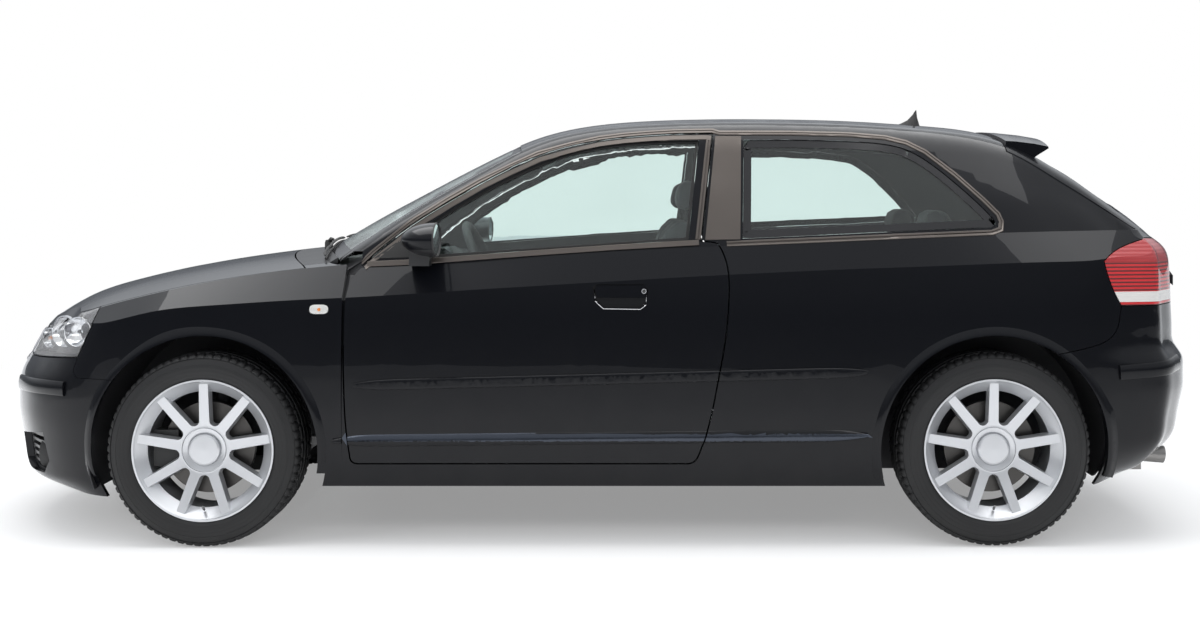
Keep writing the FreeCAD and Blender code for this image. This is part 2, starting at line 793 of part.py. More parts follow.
screen_hole = plan_prism(screen_outline(), 700, 1600, 0)
screen_zone = plan_prism(screen_outline(), 700, 1600, -size("seal_gap"))
screen_step = plan_prism(screen_outline(), 700, 1600, -20)
rear_screen_hole = plan_prism(rear_screen_outline(), 1000, 1600, 0)
rear_screen_zone = plan_prism(rear_screen_outline(), 1000, 1600, -size("seal_gap"))
quarter_hole = side_prism(QUARTER_GLASS, -1200, -400, 0)
roof_zone = box(-400, 1448 - gap, -ROOF_HALF, ROOF_HALF, 1100, 1600)
roof_panel = body_solid.common(roof_zone).cut(cabin_void).cut(plan_prism(screen_outline(), 700, 1600, gap))
keep("roof", largest(roof_panel))

side = thick_left.common(box(-880, 2300, -1200, -ROOF_HALF - 1, 0, 1600))
side = side.cut(side_prism(hinge_zone, -1200, 0).cut(behind_skin))
side = side.cut(door_hole).cut(quarter_hole).cut(screen_hole)
side = side.cut(scuttle_hole).cut(tailgate_hole).cut(lamp_hole).cut(rear_bumper_hole)
side = side.cut(box(-900, 2300, -1200, 0, 0, size("sill_bottom")))
side = side.cut(side_prism(hinge_zone, -1200, -500).cut(box(-900, 0, -1200, -500, 0, 900)).cut(outer_top))
side = side.fuse(rear_flare.common(box(900, 2300, -1200, 0, size("sill_bottom"), 800)).cut(rear_bumper_hole))
for strip in (rub_strip, sill_strip):
    side = side.fuse(strip.common(box(0, 2300, -1200, 0, 0, 1000)).cut(door_hole))
side = side.cut(rear_arch_left).cut(front_arch_left)
side = side.cut(cylinder_y(front_x, wheel_z, arch + 26.5, -849, -430))
side = largest(side)
keep("body_side_left", side)
keep("body_side_right", mirrored(side))

# Glass: the outer face lies a little below the body's, and each pane sits in its opening.
sunk = size("glass_inset")
pane = size("glass_thickness")
glass_shell = greenhouse_solid(sunk).cut(greenhouse_solid(sunk + pane))
windscreen = largest(glass_shell.common(screen_zone).common(box(-1200, 0, -800, 800, 700, 1600)).cut(outer_low))
keep("windscreen", windscreen)
quarter = largest(glass_shell.common(side_prism(QUARTER_GLASS, -1200, -400, -size("seal_gap"))))
keep("quarter_glasses", Part.makeCompound([quarter, mirrored(quarter)]))
keep("tailgate_glass", largest(glass_shell.common(rear_screen_zone).common(box(1400, 2300, -800, 800, 1000, 1600))))
door_pane = largest(greenhouse_solid(sunk + 8).cut(greenhouse_solid(sunk + 8 + pane)).common(
    side_prism(DOOR_GLASS, -1200, -400, -size("seal_gap"))))
keep("door_glass_left", door_pane)
keep("door_glass_right", mirrored(door_pane))

door = thick_left.common(door_blank).cut(side_prism(DOOR_GLASS, -1200, -400, 0))
HANDLE = closed([(28, 846), (40, 856), (196, 856), (210, 838), (204, 786), (186, 773), (62, 775), (36, 800)])
for strip in (rub_strip, sill_strip):
    door = door.fuse(strip.common(door_blank))
door = door.cut(side_prism(HANDLE, -1200, -side_y(120, 856) + 12))
# Behind the outer skin the door's and the tailgate's edges stand further in, so that they swing clear.
swing_gap = size("swing_gap")
behind_edge = greenhouse_solid(size("swing_depth"))
door = largest(door.cut(behind_edge.cut(side_prism(DOOR, -1200, 0, -gap - swing_gap))))
keep("door_left", door)
keep("door_right", mirrored(door))

# Tailgate with its spoiler and the recess for the number plate.
PLATE_FACE = 2040
tailgate_shell = body_solid.cut(cabin_void).common(box(1400, 2300, -800, 800, 600, 1600))
tailgate = tailgate_shell.common(tailgate_zone).cut(rear_screen_hole)
tailgate = tailgate.cut(behind_edge.common(box(1400, 2300, -800, 800, 960, 1360)).cut(
    front_prism(both_front(TAILGATE), 1300, 2400, -gap - swing_gap)))
SPOILER = [(1456, 1330), (1456, 1387), (1500, 1385), (1580, 1377), (1640, 1367), (1642, 1361), (1600, 1340), (1560, 1318),
           (1520, 1300)]
SPOILER_HALF = 520
SPOILER_DROP = 50
SPOILER_SWEEP = 36


def spoiler_wire(y):
    """Section of the spoiler at y: towards its ends it drops with the roof and sweeps forward."""
    share = (y / SPOILER_HALF) ** 2
    corners = []
    for x, z in SPOILER:
        back = (x - SPOILER[0][0]) / (SPOILER[5][0] - SPOILER[0][0])
        corners.append(Vector(x - SPOILER_SWEEP * share * back, y, z - SPOILER_DROP * share))
    return Part.makePolygon(corners + [corners[0]])


spoiler = Part.makeLoft([spoiler_wire(SPOILER_HALF * k / 4.0) for k in range(-4, 5)], True, False)
tailgate = tailgate.cut(box(PLATE_FACE, 2300, -272, 272, 706, 838))
tailgate = largest(tailgate.fuse(spoiler))
keep("tailgate", tailgate)

tail_shell = outer_low.cut(behind_lamps).common(box(1600, 2300, -1200, 0, 600, 1100))
tail_lamp = side_prism(TAIL_LAMP, -1200, -TAIL_LAMP_INNER - gap, -gap * 0.6).common(tail_shell)
tail_lamp = largest(tail_lamp.cut(tailgate_hole))
keep("tail_lamps", Part.makeCompound([tail_lamp, mirrored(tail_lamp)]))

rear_bumper = thin_shell.common(side_prism(REAR_BUMPER, -1200, 1200, -gap * 0.6))
rear_bumper = rear_bumper.cut(front_prism(both_front(TAILGATE), 1900, 2300, gap))
rear_bumper = rear_bumper.cut(box(0, 2300, -1200, 1200, 0, 186)).cut(box(1400, 1990, -620, 620, 0, 350))
rear_bumper = rear_bumper.cut(box(1880, 2300, -540, -385, 0, 292))
for flare, hole in ((rear_flare, rear_arch_left), (mirrored(rear_flare), mirrored(rear_arch_left))):
    rear_bumper = rear_bumper.fuse(flare.common(side_prism(REAR_BUMPER, -1200, 1200, -gap * 0.6)))
    rear_bumper = rear_bumper.cut(hole)
rear_bumper = rear_bumper.common(box(1340, 2300, -1200, 1200, 0, 1000))
keep("rear_bumper", largest(rear_bumper))

# The space inside the cabin, a little clear of its walls.
fit = size("seal_gap")
moving_gap = size("moving_gap")
cabin_space = lower_body(door_wall + fit)
trim_space = cabin_space.fuse(greenhouse_solid(roof_wall + 4))

# Floor: pan, tunnel, bulkhead, heel board, boot floor and the tubs round the rear wheels.
ground = size("floor_height")
plate = size("floor_wall")
boot = size("boot_floor_height")
bulkhead = size("bulkhead_x")
floor = box(bulkhead + 8, 1000, -850, 850, ground, ground + plate)
floor = floor.fuse(box(bulkhead + 8, bulkhead + 22, -850, 850, ground, 880))
floor = floor.fuse(box(986, 1000, -850, 850, ground, boot))
floor = floor.fuse(box(986, 1960, -850, 850, boot, boot + plate))
floor = floor.fuse(box(bulkhead + 8, 990, -130, 130, ground, ground + 130))
floor = floor.cut(box(bulkhead, 990 - plate, -116, 116, ground - 10, ground + 116))
tub = cylinder_y(rear_x, wheel_z, arch + 26, -809, -520).cut(cylinder_y(rear_x, wheel_z, arch + 12, -1200, -534))
tub = tub.common(box(900, 1900, -1200, 0, ground, 900))
well = cylinder_y(rear_x, wheel_z, arch + 12, -1200, -534)
floor = floor.cut(well).cut(mirrored(well))
floor = floor.fuse(tub).fuse(mirrored(tub))
liner_hole = cylinder_y(front_x, wheel_z, arch + 26.3, -1200, -455.7)
floor = floor.cut(liner_hole).cut(mirrored(liner_hole))
for sign in (-1, 1):
    floor = floor.cut(box(rear_x - 50, rear_x + 50, sign * 527 - 12, sign * 527 + 12, ground - 50, wheel_z + 12))
floor = floor.common(cabin_space)
keep("floor_pan", largest(floor))

# Engine bay: side members with the arch walls, and the panel that holds the radiator.
bay = box(-1750, bulkhead, -470, -440, 330, 760).fuse(box(-1750, bulkhead + 8, -470, -400, 330, 400))
bay = bay.fuse(mirrored(bay)).fuse(box(-1760, -1735, -600, 600, 300, 640))
liner = cylinder_y(front_x, wheel_z, arch + 26, -846, -456)
liner = liner.cut(cylinder_y(front_x, wheel_z, arch + 12, -1200, -470)).common(box(-2000, 0, -1000, 0, 300, 800))
bay = bay.cut(box(-1770, -1700, -300, 300, 350, 600)).fuse(box(bulkhead - 6, bulkhead + 7.7, -700, 700, 330, 840))
inside_liner = cylinder_y(front_x, wheel_z, arch + 12, -1200, -470)
bay = bay.cut(inside_liner).cut(mirrored(inside_liner)).fuse(liner).fuse(mirrored(liner))
bay = bay.common(behind_skin)
keep("engine_bay_frame", largest(bay))

# Dashboard with its hood over the instruments and the console between the seats.
DASH = [
    [(-850, 930), (-700, 936), (-560, 918)],
    [(-560, 918), (-480, 880), (-455, 820), (-470, 740)],
    [(-470, 740), (-540, 640), (-640, 590)],
    [(-640, 590), (-850, 590)],
    [(-850, 590), (-850, 930)],
]
dash = side_prism(DASH, -748, 748)
hood = side_prism(closed([(-600, 900), (-470, 900), (-462, 935), (-500, 962), (-600, 950)]), -500, -210)
console = box(-620, -60, -95, 95, ground + 132, 470).fuse(box(-640, -470, -150, 150, 470, 700))
dash = dash.fuse(hood).fuse(console).common(lower_body(door_wall + moving_gap).fuse(
    greenhouse_solid(roof_wall + moving_gap)))
steering_place = Placement(Vector(-360, -size("seat_offset"), 872), Rotation(Vector(0, 0, 1), 90)).multiply(
    Placement(Vector(0, 0, 0), Rotation(Vector(1, 0, 0), 90 - size("steering_lean"))))
column_hole = Part.makeCylinder(size("column_radius") + 6, 400, Vector(0, 0, -400), Vector(0, 0, 1))
column_hole.Placement = steering_place
dash = dash.cut(column_hole)
keep("dashboard", largest(dash))

# Seats.
CUSHION = [
    [(-300, 360), (-325, 430), (-290, 500)],
    [(-290, 500), (-100, 490), (150, 470)],
    [(150, 470), (150, 360)],
    [(150, 360), (-300, 360)],
]
BACKREST = [
    [(90, 420), (125, 480), (200, 760), (262, 980)],
    [(262, 980), (290, 1045), (340, 1062)],
    [(340, 1062), (385, 1040), (380, 980)],
    [(380, 980), (320, 760), (260, 420)],
    [(260, 420), (90, 420)],
]
HEADREST = [
    [(305, 1085), (300, 1150), (322, 1212)],
    [(322, 1212), (360, 1222), (392, 1205)],
    [(392, 1205), (400, 1150), (390, 1085)],
    [(390, 1085), (305, 1085)],
]
half_seat = size("seat_width") / 2
seat_y = size("seat_offset")
seat = side_prism(CUSHION, -half_seat, half_seat).fuse(side_prism(BACKREST, -half_seat + 10, half_seat - 10))
seat = seat.fuse(side_prism(HEADREST, -135, 135))
seat = seat.fuse(box(338, 356, -70, -58, 1000, 1120)).fuse(box(338, 356, 58, 70, 1000, 1120))
seat = seat.fuse(box(-260, 130, -200, -150, ground + plate, 400)).fuse(box(-260, 130, 150, 200, ground + plate, 400))
left_seat = seat.copy()
left_seat.translate(Vector(0, -seat_y, 0))
keep("front_seats", Part.makeCompound([left_seat, mirrored(left_seat)]))

REAR_CUSHION = [
    [(660, 330), (640, 420), (670, 500)],
    [(670, 500), (860, 500), (1085, 480)],
    [(1085, 480), (1085, 330)],
    [(1085, 330), (660, 330)],
]
REAR_BACK = [
    [(1055, 440), (1145, 760), (1190, 985)],
    [(1190, 985), (1225, 1030), (1270, 1025)],
    [(1270, 1025), (1285, 960), (1235, 440)],
    [(1235, 440), (1055, 440)],
]
REAR_HEADREST = [
    [(1180, 1000), (1175, 1070), (1200, 1105)],
    [(1200, 1105), (1250, 1112), (1300, 1085)],
    [(1300, 1085), (1295, 1000)],
    [(1295, 1000), (1180, 1000)],
]
bench = side_prism(REAR_CUSHION, -500, 500).fuse(side_prism(REAR_BACK, -500, 500))
bench = bench.fuse(box(740, 980, -400, 400, ground + plate, 400))
bench = bench.cut(box(985.5, 1500, -900, 900, 0, boot + plate + fit))
for y in (-350, 350):
    bench = bench.fuse(side_prism(REAR_HEADREST, y - 125, y + 125))
bench = bench.cut(box(500, 1000, -131, 131, ground, ground + 131)).cut(mirrored(tub)).cut(tub).cut(well).cut(mirrored(well))
keep("rear_seat", largest(bench))

# Pieces made as sketched bodies and primitives, bound to the sheet.
def bound(alias, factor=1, plus=0):
    """A number worked out from the sheet, with the expression that keeps it so."""
    return (size(alias) * factor + plus, "sizes.%s * %.6f + %.3f" % (alias, factor, plus))


def fixed(number):
    return (number, None)


def new_body(name):
    body = doc.addObject("PartDesign::Body", name)
    body.Label = name
    return body


def base_plane(body, role):
    for feature in body.Origin.OriginFeatures:
        if feature.Role == role:
            return feature


def new_sketch(body, name, role):
    drawing = body.newObject("Sketcher::SketchObject", name)
    drawing.AttachmentSupport = (base_plane(body, role), "")
    drawing.MapMode = "FlatFace"
    return drawing


def dimension(drawing, kind, vertex, value):
    number, expression = value
    index = drawing.addConstraint(Sketcher.Constraint(kind, -1, 1, vertex, 1, number))
    if expression:
        drawing.setExpression("Constraints[%d]" % index, expression)


def draw_loop(drawing, corners):
    """Closed loop of straight lines whose corners are pairs of bound values."""
    count = len(corners)
    first = drawing.GeometryCount
    for i in range(count):
        a = corners[i]
        b = corners[(i + 1) % count]
        start = Vector(a[0][0], a[1][0], 0)
        end = Vector(b[0][0], b[1][0], 0)
        drawing.addGeometry(Part.LineSegment(start, end), False)
    for i in range(count):
        drawing.addConstraint(Sketcher.Constraint("Coincident", first + i, 2, first + (i + 1) % count, 1))
    for i in range(count):
        dimension(drawing, "DistanceX", first + i, corners[i][0])
        dimension(drawing, "DistanceY", first + i, corners[i][1])


def revolve(body, name, drawing):
    turned = body.newObject("PartDesign::Revolution", name)
    turned.Profile = drawing
    turned.ReferenceAxis = (drawing, ["V_Axis"])
    turned.Angle = 360
    return turned


def wheel_place(x, y, left):
    """Places a body whose axis is Z, with its outer side up, at a wheel centre."""
    turn = 90 if left else -90
    return Placement(Vector(x, y, wheel_z), Rotation(Vector(1, 0, 0), turn))




def make_tyre(name, place):
    body = new_body(name)
    drawing = new_sketch(body, name + "_section", "XZ_Plane")
    tread = bound("tyre_diameter", 0.5)
    shoulder = bound("tyre_diameter", 0.5, -6)
    bulge = bound("tyre_diameter", 0.5, -34)
    widest = bound("tyre_diameter", 0.5, -58)
    lip = bound("rim_diameter", 0.5, 0.3)
    seat = bound("tyre_seat_diameter", 0.5)
    corners = [
        (seat, bound("rim_width", -0.5, 10)), (lip, bound("rim_width", -0.5, 6.3)),
        (lip, bound("rim_width", -0.5, 1)),
        (widest, bound("tyre_width", -0.5)), (bulge, bound("tyre_width", -0.5, 2)),
        (bound("tyre_diameter", 0.5, -14), bound("tyre_width", -0.5, 10)),
        (shoulder, bound("tyre_width", -0.5, 20)), (tread, bound("tyre_width", -0.5, 36)),
        (tread, bound("tyre_width", 0.5, -36)), (shoulder, bound("tyre_width", 0.5, -20)),
        (bound("tyre_diameter", 0.5, -14), bound("tyre_width", 0.5, -10)),
        (bulge, bound("tyre_width", 0.5, -2)), (widest, bound("tyre_width", 0.5)),
        (lip, bound("rim_width", 0.5, -1)), (lip, bound("rim_width", 0.5, -6.3)),
        (seat, bound("rim_width", 0.5, -10)),
    ]
    draw_loop(drawing, corners)
    revolve(body, name + "_ring", drawing)
    body.Placement = place
    return body


def make_wheel(name, place):
    """Alloy wheel with its hub and brake disc; its axis is Z and its outer side faces up."""
    body = new_body(name)
    hub = bound("hub_radius")
    face = new_sketch(body, name + "_face_section", "XZ_Plane")
    spoke_end = bound("tyre_seat_diameter", 0.5, -1)
    draw_loop(face, [
        (fixed(0.5), fixed(52)), (hub, fixed(52)), (spoke_end, bound("spoke_thickness", -1, 92)),
        (spoke_end, fixed(94)), (hub, fixed(81)), (bound("hub_radius", 1, -4), fixed(81)),
        (bound("hub_radius", 1, -5), fixed(77)), (bound("hub_radius", 1, -7), fixed(77)),
        (bound("hub_radius", 1, -8), fixed(81)), (bound("cap_radius", 1, 6), fixed(77)),
        (bound("cap_radius", 1, 2), fixed(74)), (bound("cap_radius"), fixed(84)),
        (bound("cap_radius", 1, -5), fixed(87)), (fixed(0.5), fixed(88)),
    ])
    revolve(body, name + "_face", face)
    window = new_sketch(body, name + "_window", "XY_Plane")
    half_turn = math.pi / size("spoke_count")
    half_spoke = size("spoke_width") / 2
    near = size("hub_radius") + 16
    far = size("tyre_seat_diameter") / 2 + 5
    middle = math.pi / 2 + half_turn
    window.AttachmentOffset = Placement(Vector(0, 0, 51), Rotation())

    def spot(radius, angle):
        return Vector(radius * math.cos(middle + angle), radius * math.sin(middle + angle), 0)

    near_angle = half_turn - math.asin(half_spoke / near)
    far_angle = half_turn - math.asin(half_spoke / far)
    points = [spot(near, -near_angle), spot(far, -far_angle), spot(far, far_angle), spot(near, near_angle)]
    window.addGeometry(Part.LineSegment(points[0], points[1]), False)
    window.addGeometry(Part.Arc(points[1], spot(far + 2, 0), points[2]), False)
    window.addGeometry(Part.LineSegment(points[2], points[3]), False)
    window.addGeometry(Part.Arc(points[3], spot(near - 6, 0), points[0]), False)
    for i in range(4):
        window.addConstraint(Sketcher.Constraint("Coincident", i, 2, (i + 1) % 4, 1))
    pocket = body.newObject("PartDesign::Pocket", name + "_opening")
    pocket.Profile = window
    pocket.Length = 60
    pocket.TaperAngle = 10
    pocket.Reversed = True
    pattern = body.newObject("PartDesign::PolarPattern", name + "_spokes")
    pattern.Originals = [pocket]
    pattern.Axis = (window, ["N_Axis"])
    pattern.Angle = 360
    pattern.Occurrences = int(size("spoke_count"))
    pattern.setExpression("Occurrences", "sizes.spoke_count")
    body.Tip = pattern
    barrel = new_sketch(body, name + "_barrel_section", "XZ_Plane")
    lip = bound("rim_diameter", 0.5)
    seat = bound("tyre_seat_diameter", 0.5)
    inner = bound("tyre_seat_diameter", 0.5, -6)
    well = bound("tyre_seat_diameter", 0.5, -24)
    floor_of_well = bound("tyre_seat_diameter", 0.5, -17)
    draw_loop(barrel, [
        (lip, bound("rim_width", 0.5)), (bound("rim_diameter", 0.5, -6), bound("rim_width", 0.5)),
        (bound("rim_diameter", 0.5, -9), bound("rim_width", 0.5, -4)),
        (bound("tyre_seat_diameter", 0.5, -28), bound("rim_width", 0.5, -38)), (well, bound("rim_width", 0.5, -56)),
        (well, bound("rim_width", -0.5, 40)), (inner, bound("rim_width", -0.5, 22)),
        (inner, bound("rim_width", -0.5, 6)), (bound("rim_diameter", 0.5, -9), bound("rim_width", -0.5)),
        (lip, bound("rim_width", -0.5)),
        (lip, bound("rim_width", -0.5, 6)), (seat, bound("rim_width", -0.5, 9.5)),
        (seat, bound("rim_width", -0.5, 24)), (floor_of_well, bound("rim_width", -0.5, 44)),
        (floor_of_well, bound("rim_width", 0.5, -44)), (seat, bound("rim_width", 0.5, -26)),
        (seat, bound("rim_width", 0.5, -9.5)), (lip, bound("rim_width", 0.5, -6)),
    ])
    revolve(body, name + "_barrel", barrel)
    disc = new_sketch(body, name + "_disc_section", "XZ_Plane")
    bore = bound("spindle_radius", 1, size("spindle_play"))
    draw_loop(disc, [
        (fixed(0.5), fixed(56)), (fixed(0.5), fixed(30)), (bore, fixed(30)), (bore, fixed(0)),
        (bound("disc_radius"), fixed(0)), (bound("disc_radius"), bound("disc_thickness")),
        (hub, bound("disc_thickness")), (hub, fixed(56)),
    ])
    revolve(body, name + "_disc", disc)
    body.Placement = place
    return body


bodies = {}
for name, x, track in (("front", front_x, size("front_track")), ("rear", rear_x, size("rear_track"))):
    for side_name, left in (("left", True), ("right", False)):
        y = -track / 2 if left else track / 2
        spot_name = "%s_%s" % (name, side_name)
        bodies["tyre_" + spot_name] = make_tyre("tyre_" + spot_name, wheel_place(x, y, left))
        bodies["wheel_" + spot_name] = make_wheel("wheel_" + spot_name, wheel_place(x, y, left))


def make_box(name, length, width, height, corner):
    """Block whose three sizes are bound values, at a corner."""
    block = doc.addObject("Part::Box", name)
    for side_name, value in (("Length", length), ("Width", width), ("Height", height)):
        setattr(block, side_name, value[0])
        if value[1]:
            block.setExpression(side_name, value[1])
    block.Placement.Base = corner
    return block


def make_rod(name, radius, length, start, direction):
    """Round bar with bound radius and length, from a start along a direction."""
    rod = doc.addObject("Part::Cylinder", name)
    rod.Radius = radius[0]
    if radius[1]:
        rod.setExpression("Radius", radius[1])
    rod.Height = length[0]
    if length[1]:
        rod.setExpression("Height", length[1])
    rod.Placement = Placement(start, Rotation(Vector(0, 0, 1), direction))
    return rod


def joined(name, parts):
    whole = doc.addObject("Part::MultiFuse", name)
    whole.Shapes = parts
    whole.Label = name
    return whole


# Knuckles: hub carrier, spindle in the wheel's bore, ball joint socket below, damper above, calliper on the disc.
kingpin_y = size("kingpin_y")
spindle = bound("spindle_radius")
for side_name, sign in (("left", -1), ("right", 1)):
    hub_y = sign * size("front_track") / 2
    inward = Vector(0, -sign, 0)
    outward = Vector(0, sign, 0)
    name = "knuckle_" + side_name
    centre = Vector(front_x, hub_y, wheel_z)
    carrier = make_rod(name + "_carrier", fixed(62), fixed(70), centre + inward * 5, inward)
    pin = make_rod(name + "_spindle", spindle, fixed(34), centre + inward * 6, outward)
    lower = make_box(name + "_lower_arm", fixed(60), fixed(36), fixed(90),
                     Vector(front_x - 30, sign * kingpin_y - 18, 226))
    tower = make_box(name + "_upper_arm", fixed(56), fixed(50), fixed(150),
                     Vector(front_x - 28, sign * (kingpin_y - 35) - 25, wheel_z - 40))
    damper = make_rod(name + "_damper", fixed(26), fixed(240), Vector(front_x, sign * (kingpin_y - 62), wheel_z + 60),
                      Vector(0, 0, 1))
    disc_side = abs(hub_y)
    block = make_box(name + "_calliper_block", fixed(80), fixed(77), fixed(120),
                     Vector(front_x - 175, sign * (disc_side + 8.5) - 38.5, wheel_z - 60))
    slot = make_rod(name + "_disc_slot", bound("disc_radius", 1, 5), bound("disc_thickness", 1, 10),
                    Vector(front_x, sign * (disc_side - 5), wheel_z), outward)
    calliper = doc.addObject("Part::Cut", name + "_calliper")
    calliper.Base = block
    calliper.Tool = slot
    bridge = make_box(name + "_bracket", fixed(110), fixed(24), fixed(60),
                      Vector(front_x - 130, sign * (disc_side - 18) - 12, wheel_z - 30))
    bodies[name] = joined(name, [carrier, pin, lower, tower, damper, calliper, bridge])

# Front cross member with the lower arms, whose pins stand under the knuckles.
half_cross = 430
cross = make_box("front_cross_member", fixed(260), fixed(2 * half_cross), fixed(50),
                 Vector(front_x - 100, -half_cross, 176))
arms = [cross]
for side_name, sign in (("left", -1), ("right", 1)):
    y0 = half_cross - 30 if sign > 0 else -(kingpin_y + 26)
    arm = make_box("lower_arm_" + side_name, fixed(56), bound("kingpin_y", 1, 56 - half_cross), fixed(22),
                   Vector(front_x - 28, y0, 188))
    stud = make_rod("ball_stud_" + side_name, fixed(12), fixed(15.7), Vector(front_x, sign * kingpin_y, 210),
                    Vector(0, 0, 1))
    arms += [arm, stud]
bodies["front_subframe"] = joined("front_subframe", arms)

# Rear axle: cross tube, carriers and spindles, and arms that run forward to the floor.
half_rear = size("rear_track") / 2
axle_parts = [make_rod("rear_cross_tube", fixed(42), bound("rear_track", 1, -160),
                       Vector(rear_x, -(half_rear - 80), wheel_z - 40), Vector(0, 1, 0))]
for side_name, sign in (("left", -1), ("right", 1)):
    centre = Vector(rear_x, sign * half_rear, wheel_z)
    axle_parts.append(make_rod("rear_carrier_" + side_name, fixed(60), fixed(90), centre + Vector(0, -sign * 5, 0),
                               Vector(0, -sign, 0)))
    axle_parts.append(make_rod("rear_spindle_" + side_name, spindle, fixed(34), centre + Vector(0, -sign * 6, 0),
                               Vector(0, sign, 0)))
    axle_parts.append(make_box("trailing_arm_" + side_name, fixed(rear_x - 1000.3), fixed(50), fixed(50),
                               Vector(1000.3, sign * 450 - 25, wheel_z - 80)))
    axle_parts.append(make_rod("rear_spring_" + side_name, fixed(40), bound("boot_floor_height", 1, 39.7 - wheel_z),
                               Vector(rear_x, sign * 450, wheel_z - 40), Vector(0, 0, 1)))
bodies["rear_axle"] = joined("rear_axle", axle_parts)

bodies["engine_block"] = make_box("engine_block", bound("engine_length"), bound("engine_width"), bound("engine_height"),
                                  Vector(front_x - 300, -320, 262))
bodies["radiator"] = make_box("radiator", fixed(40), fixed(620), fixed(260), Vector(-1732, -310, 340))

# Exhaust: pipe below the tunnel, silencer across the tail and two tail pipes on the left.
radius = bound("exhaust_radius")
pipes = [
    make_rod("exhaust_front_pipe", radius, fixed(1920), Vector(-900, 0, 165), Vector(1, 0, 0)),
    make_rod("exhaust_rear_pipe", radius, fixed(740), Vector(1020, 0, 165), Vector(1, 0, 0.09)),
    make_box("silencer", fixed(210), fixed(660), fixed(120), Vector(1720, -510, 192)),
    make_rod("tail_pipe_outer", radius, fixed(110), Vector(1900, -500, 252), Vector(1, 0, -0.08)),
    make_rod("tail_pipe_inner", radius, fixed(110), Vector(1900, -425, 252), Vector(1, 0, -0.08)),
]
bend = doc.addObject("Part::Sphere", "exhaust_bend")
bend.setExpression("Radius", "sizes.exhaust_radius + 5")
bend.Placement.Base = Vector(1020, 0, 165)
bodies["exhaust"] = joined("exhaust", pipes + [bend])

# Steering wheel on the left: its ring leans towards the driver.
ring = doc.addObject("Part::Torus", "steering_ring")
ring.setExpression("Radius1", "sizes.wheel_rim_radius")
ring.setExpression("Radius2", "sizes.wheel_rim_grip")
hub_disc = make_rod("steering_hub", fixed(62), fixed(40), Vector(0, 0, -34), Vector(0, 0, 1))
spoke_left = make_box("steering_spoke_across", bound("wheel_rim_radius", 2, -10), fixed(34), fixed(14),
                      Vector(-size("wheel_rim_radius") + 5, -17, -20))
spoke_down = make_box("steering_spoke_down", fixed(34), bound("wheel_rim_radius", 1, -5), fixed(14),
                      Vector(-17, -size("wheel_rim_radius") + 5, -20))
column = make_rod("steering_column", bound("column_radius"), fixed(120), Vector(0, 0, -150), Vector(0, 0, 1))
steering = joined("steering_wheel", [ring, hub_disc, spoke_left, spoke_down, column])
steering.Placement = steering_place
bodies["steering_wheel"] = steering

# Door mirrors.
for side_name, sign in (("left", -1), ("right", 1)):
    name = "mirror_" + side_name
    egg = doc.addObject("Part::Ellipsoid", name + "_egg")
    egg.setExpression("Radius1", "sizes.mirror_height / 2")
    egg.setExpression("Radius2", "sizes.mirror_depth")
    egg.setExpression("Radius3", "sizes.mirror_width / 2")
    egg.Placement.Base = Vector(-478, sign * 884, 1002)
    front_half = make_box(name + "_front_half", bound("mirror_depth", 1, 20), bound("mirror_width", 1, 20),
                          bound("mirror_height", 1, 20), Vector(-478 - size("mirror_depth") - 20, sign * 884 - 114, 930))
    head = doc.addObject("Part::Common", name + "_shell")
    head.Base = egg
    head.Tool = front_half
    foot = make_box(name + "_foot", fixed(66), fixed(70), fixed(52), Vector(-572, sign * 808 - 35, 915))
    whole = joined(name + "_whole", [head, foot])
    trimmed = doc.addObject("Part::Cut", name)
    trimmed.Base = whole
    trimmed.Tool = doc.getObject("door_" + side_name)
    bodies[name] = trimmed
doc.recompute()

# All of the objects are looked at before any file is written.
exports = list(pieces.values())
for name in bodies:
    bodies[name].Label = name
    exports.append(bodies[name])
doc.recompute()
for item in doc.Objects:
    if "Invalid" in item.State or "Error" in item.State:
        raise RuntimeError(item.Name + " did not recompute")
for item in exports:
    if item.Shape.isNull() or not item.Shape.isValid():
        raise RuntimeError(item.Label + " has no valid shape")
os.makedirs("parts", exist_ok=True)
for item in exports:
    item.Shape.exportStep("parts/" + item.Label + ".step")
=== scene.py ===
import math

import bmesh
import bpy
from bpy.props import FloatProperty, FloatVectorProperty, PointerProperty
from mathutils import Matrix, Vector
from mathutils.bvhtree import BVHTree


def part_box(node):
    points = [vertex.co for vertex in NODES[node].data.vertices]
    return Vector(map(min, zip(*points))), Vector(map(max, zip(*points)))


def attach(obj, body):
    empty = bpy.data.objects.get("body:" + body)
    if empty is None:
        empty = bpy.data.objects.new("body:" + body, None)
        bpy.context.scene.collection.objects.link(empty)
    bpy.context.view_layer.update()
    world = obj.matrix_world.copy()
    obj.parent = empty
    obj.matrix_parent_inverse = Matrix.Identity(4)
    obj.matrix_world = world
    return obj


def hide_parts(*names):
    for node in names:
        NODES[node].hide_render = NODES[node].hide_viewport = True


bl_info = {
    "name": "Hatchback Car Dressing",
    "version": (1, 0, 0),
    "blender": (4, 5, 0),
    "location": "View3D > Sidebar > Hatchback",
    "description": "Dresses a three-door hatchback car with paint, glass, lamps, wheels, trim and seats",
    "category": "Object",
}

# Metres. The car's front faces -X, its left side -Y, up is +Z, and the ground is at Z 0.
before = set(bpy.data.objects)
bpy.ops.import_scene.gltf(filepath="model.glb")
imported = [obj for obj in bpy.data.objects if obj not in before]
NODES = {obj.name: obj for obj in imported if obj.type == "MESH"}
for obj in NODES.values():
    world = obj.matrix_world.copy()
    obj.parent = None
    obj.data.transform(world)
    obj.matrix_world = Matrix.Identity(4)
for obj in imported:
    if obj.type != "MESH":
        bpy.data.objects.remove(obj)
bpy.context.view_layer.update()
BODY = "body"
DOORS = ("left_door", "right_door")
TAILGATE = "tailgate_lid"

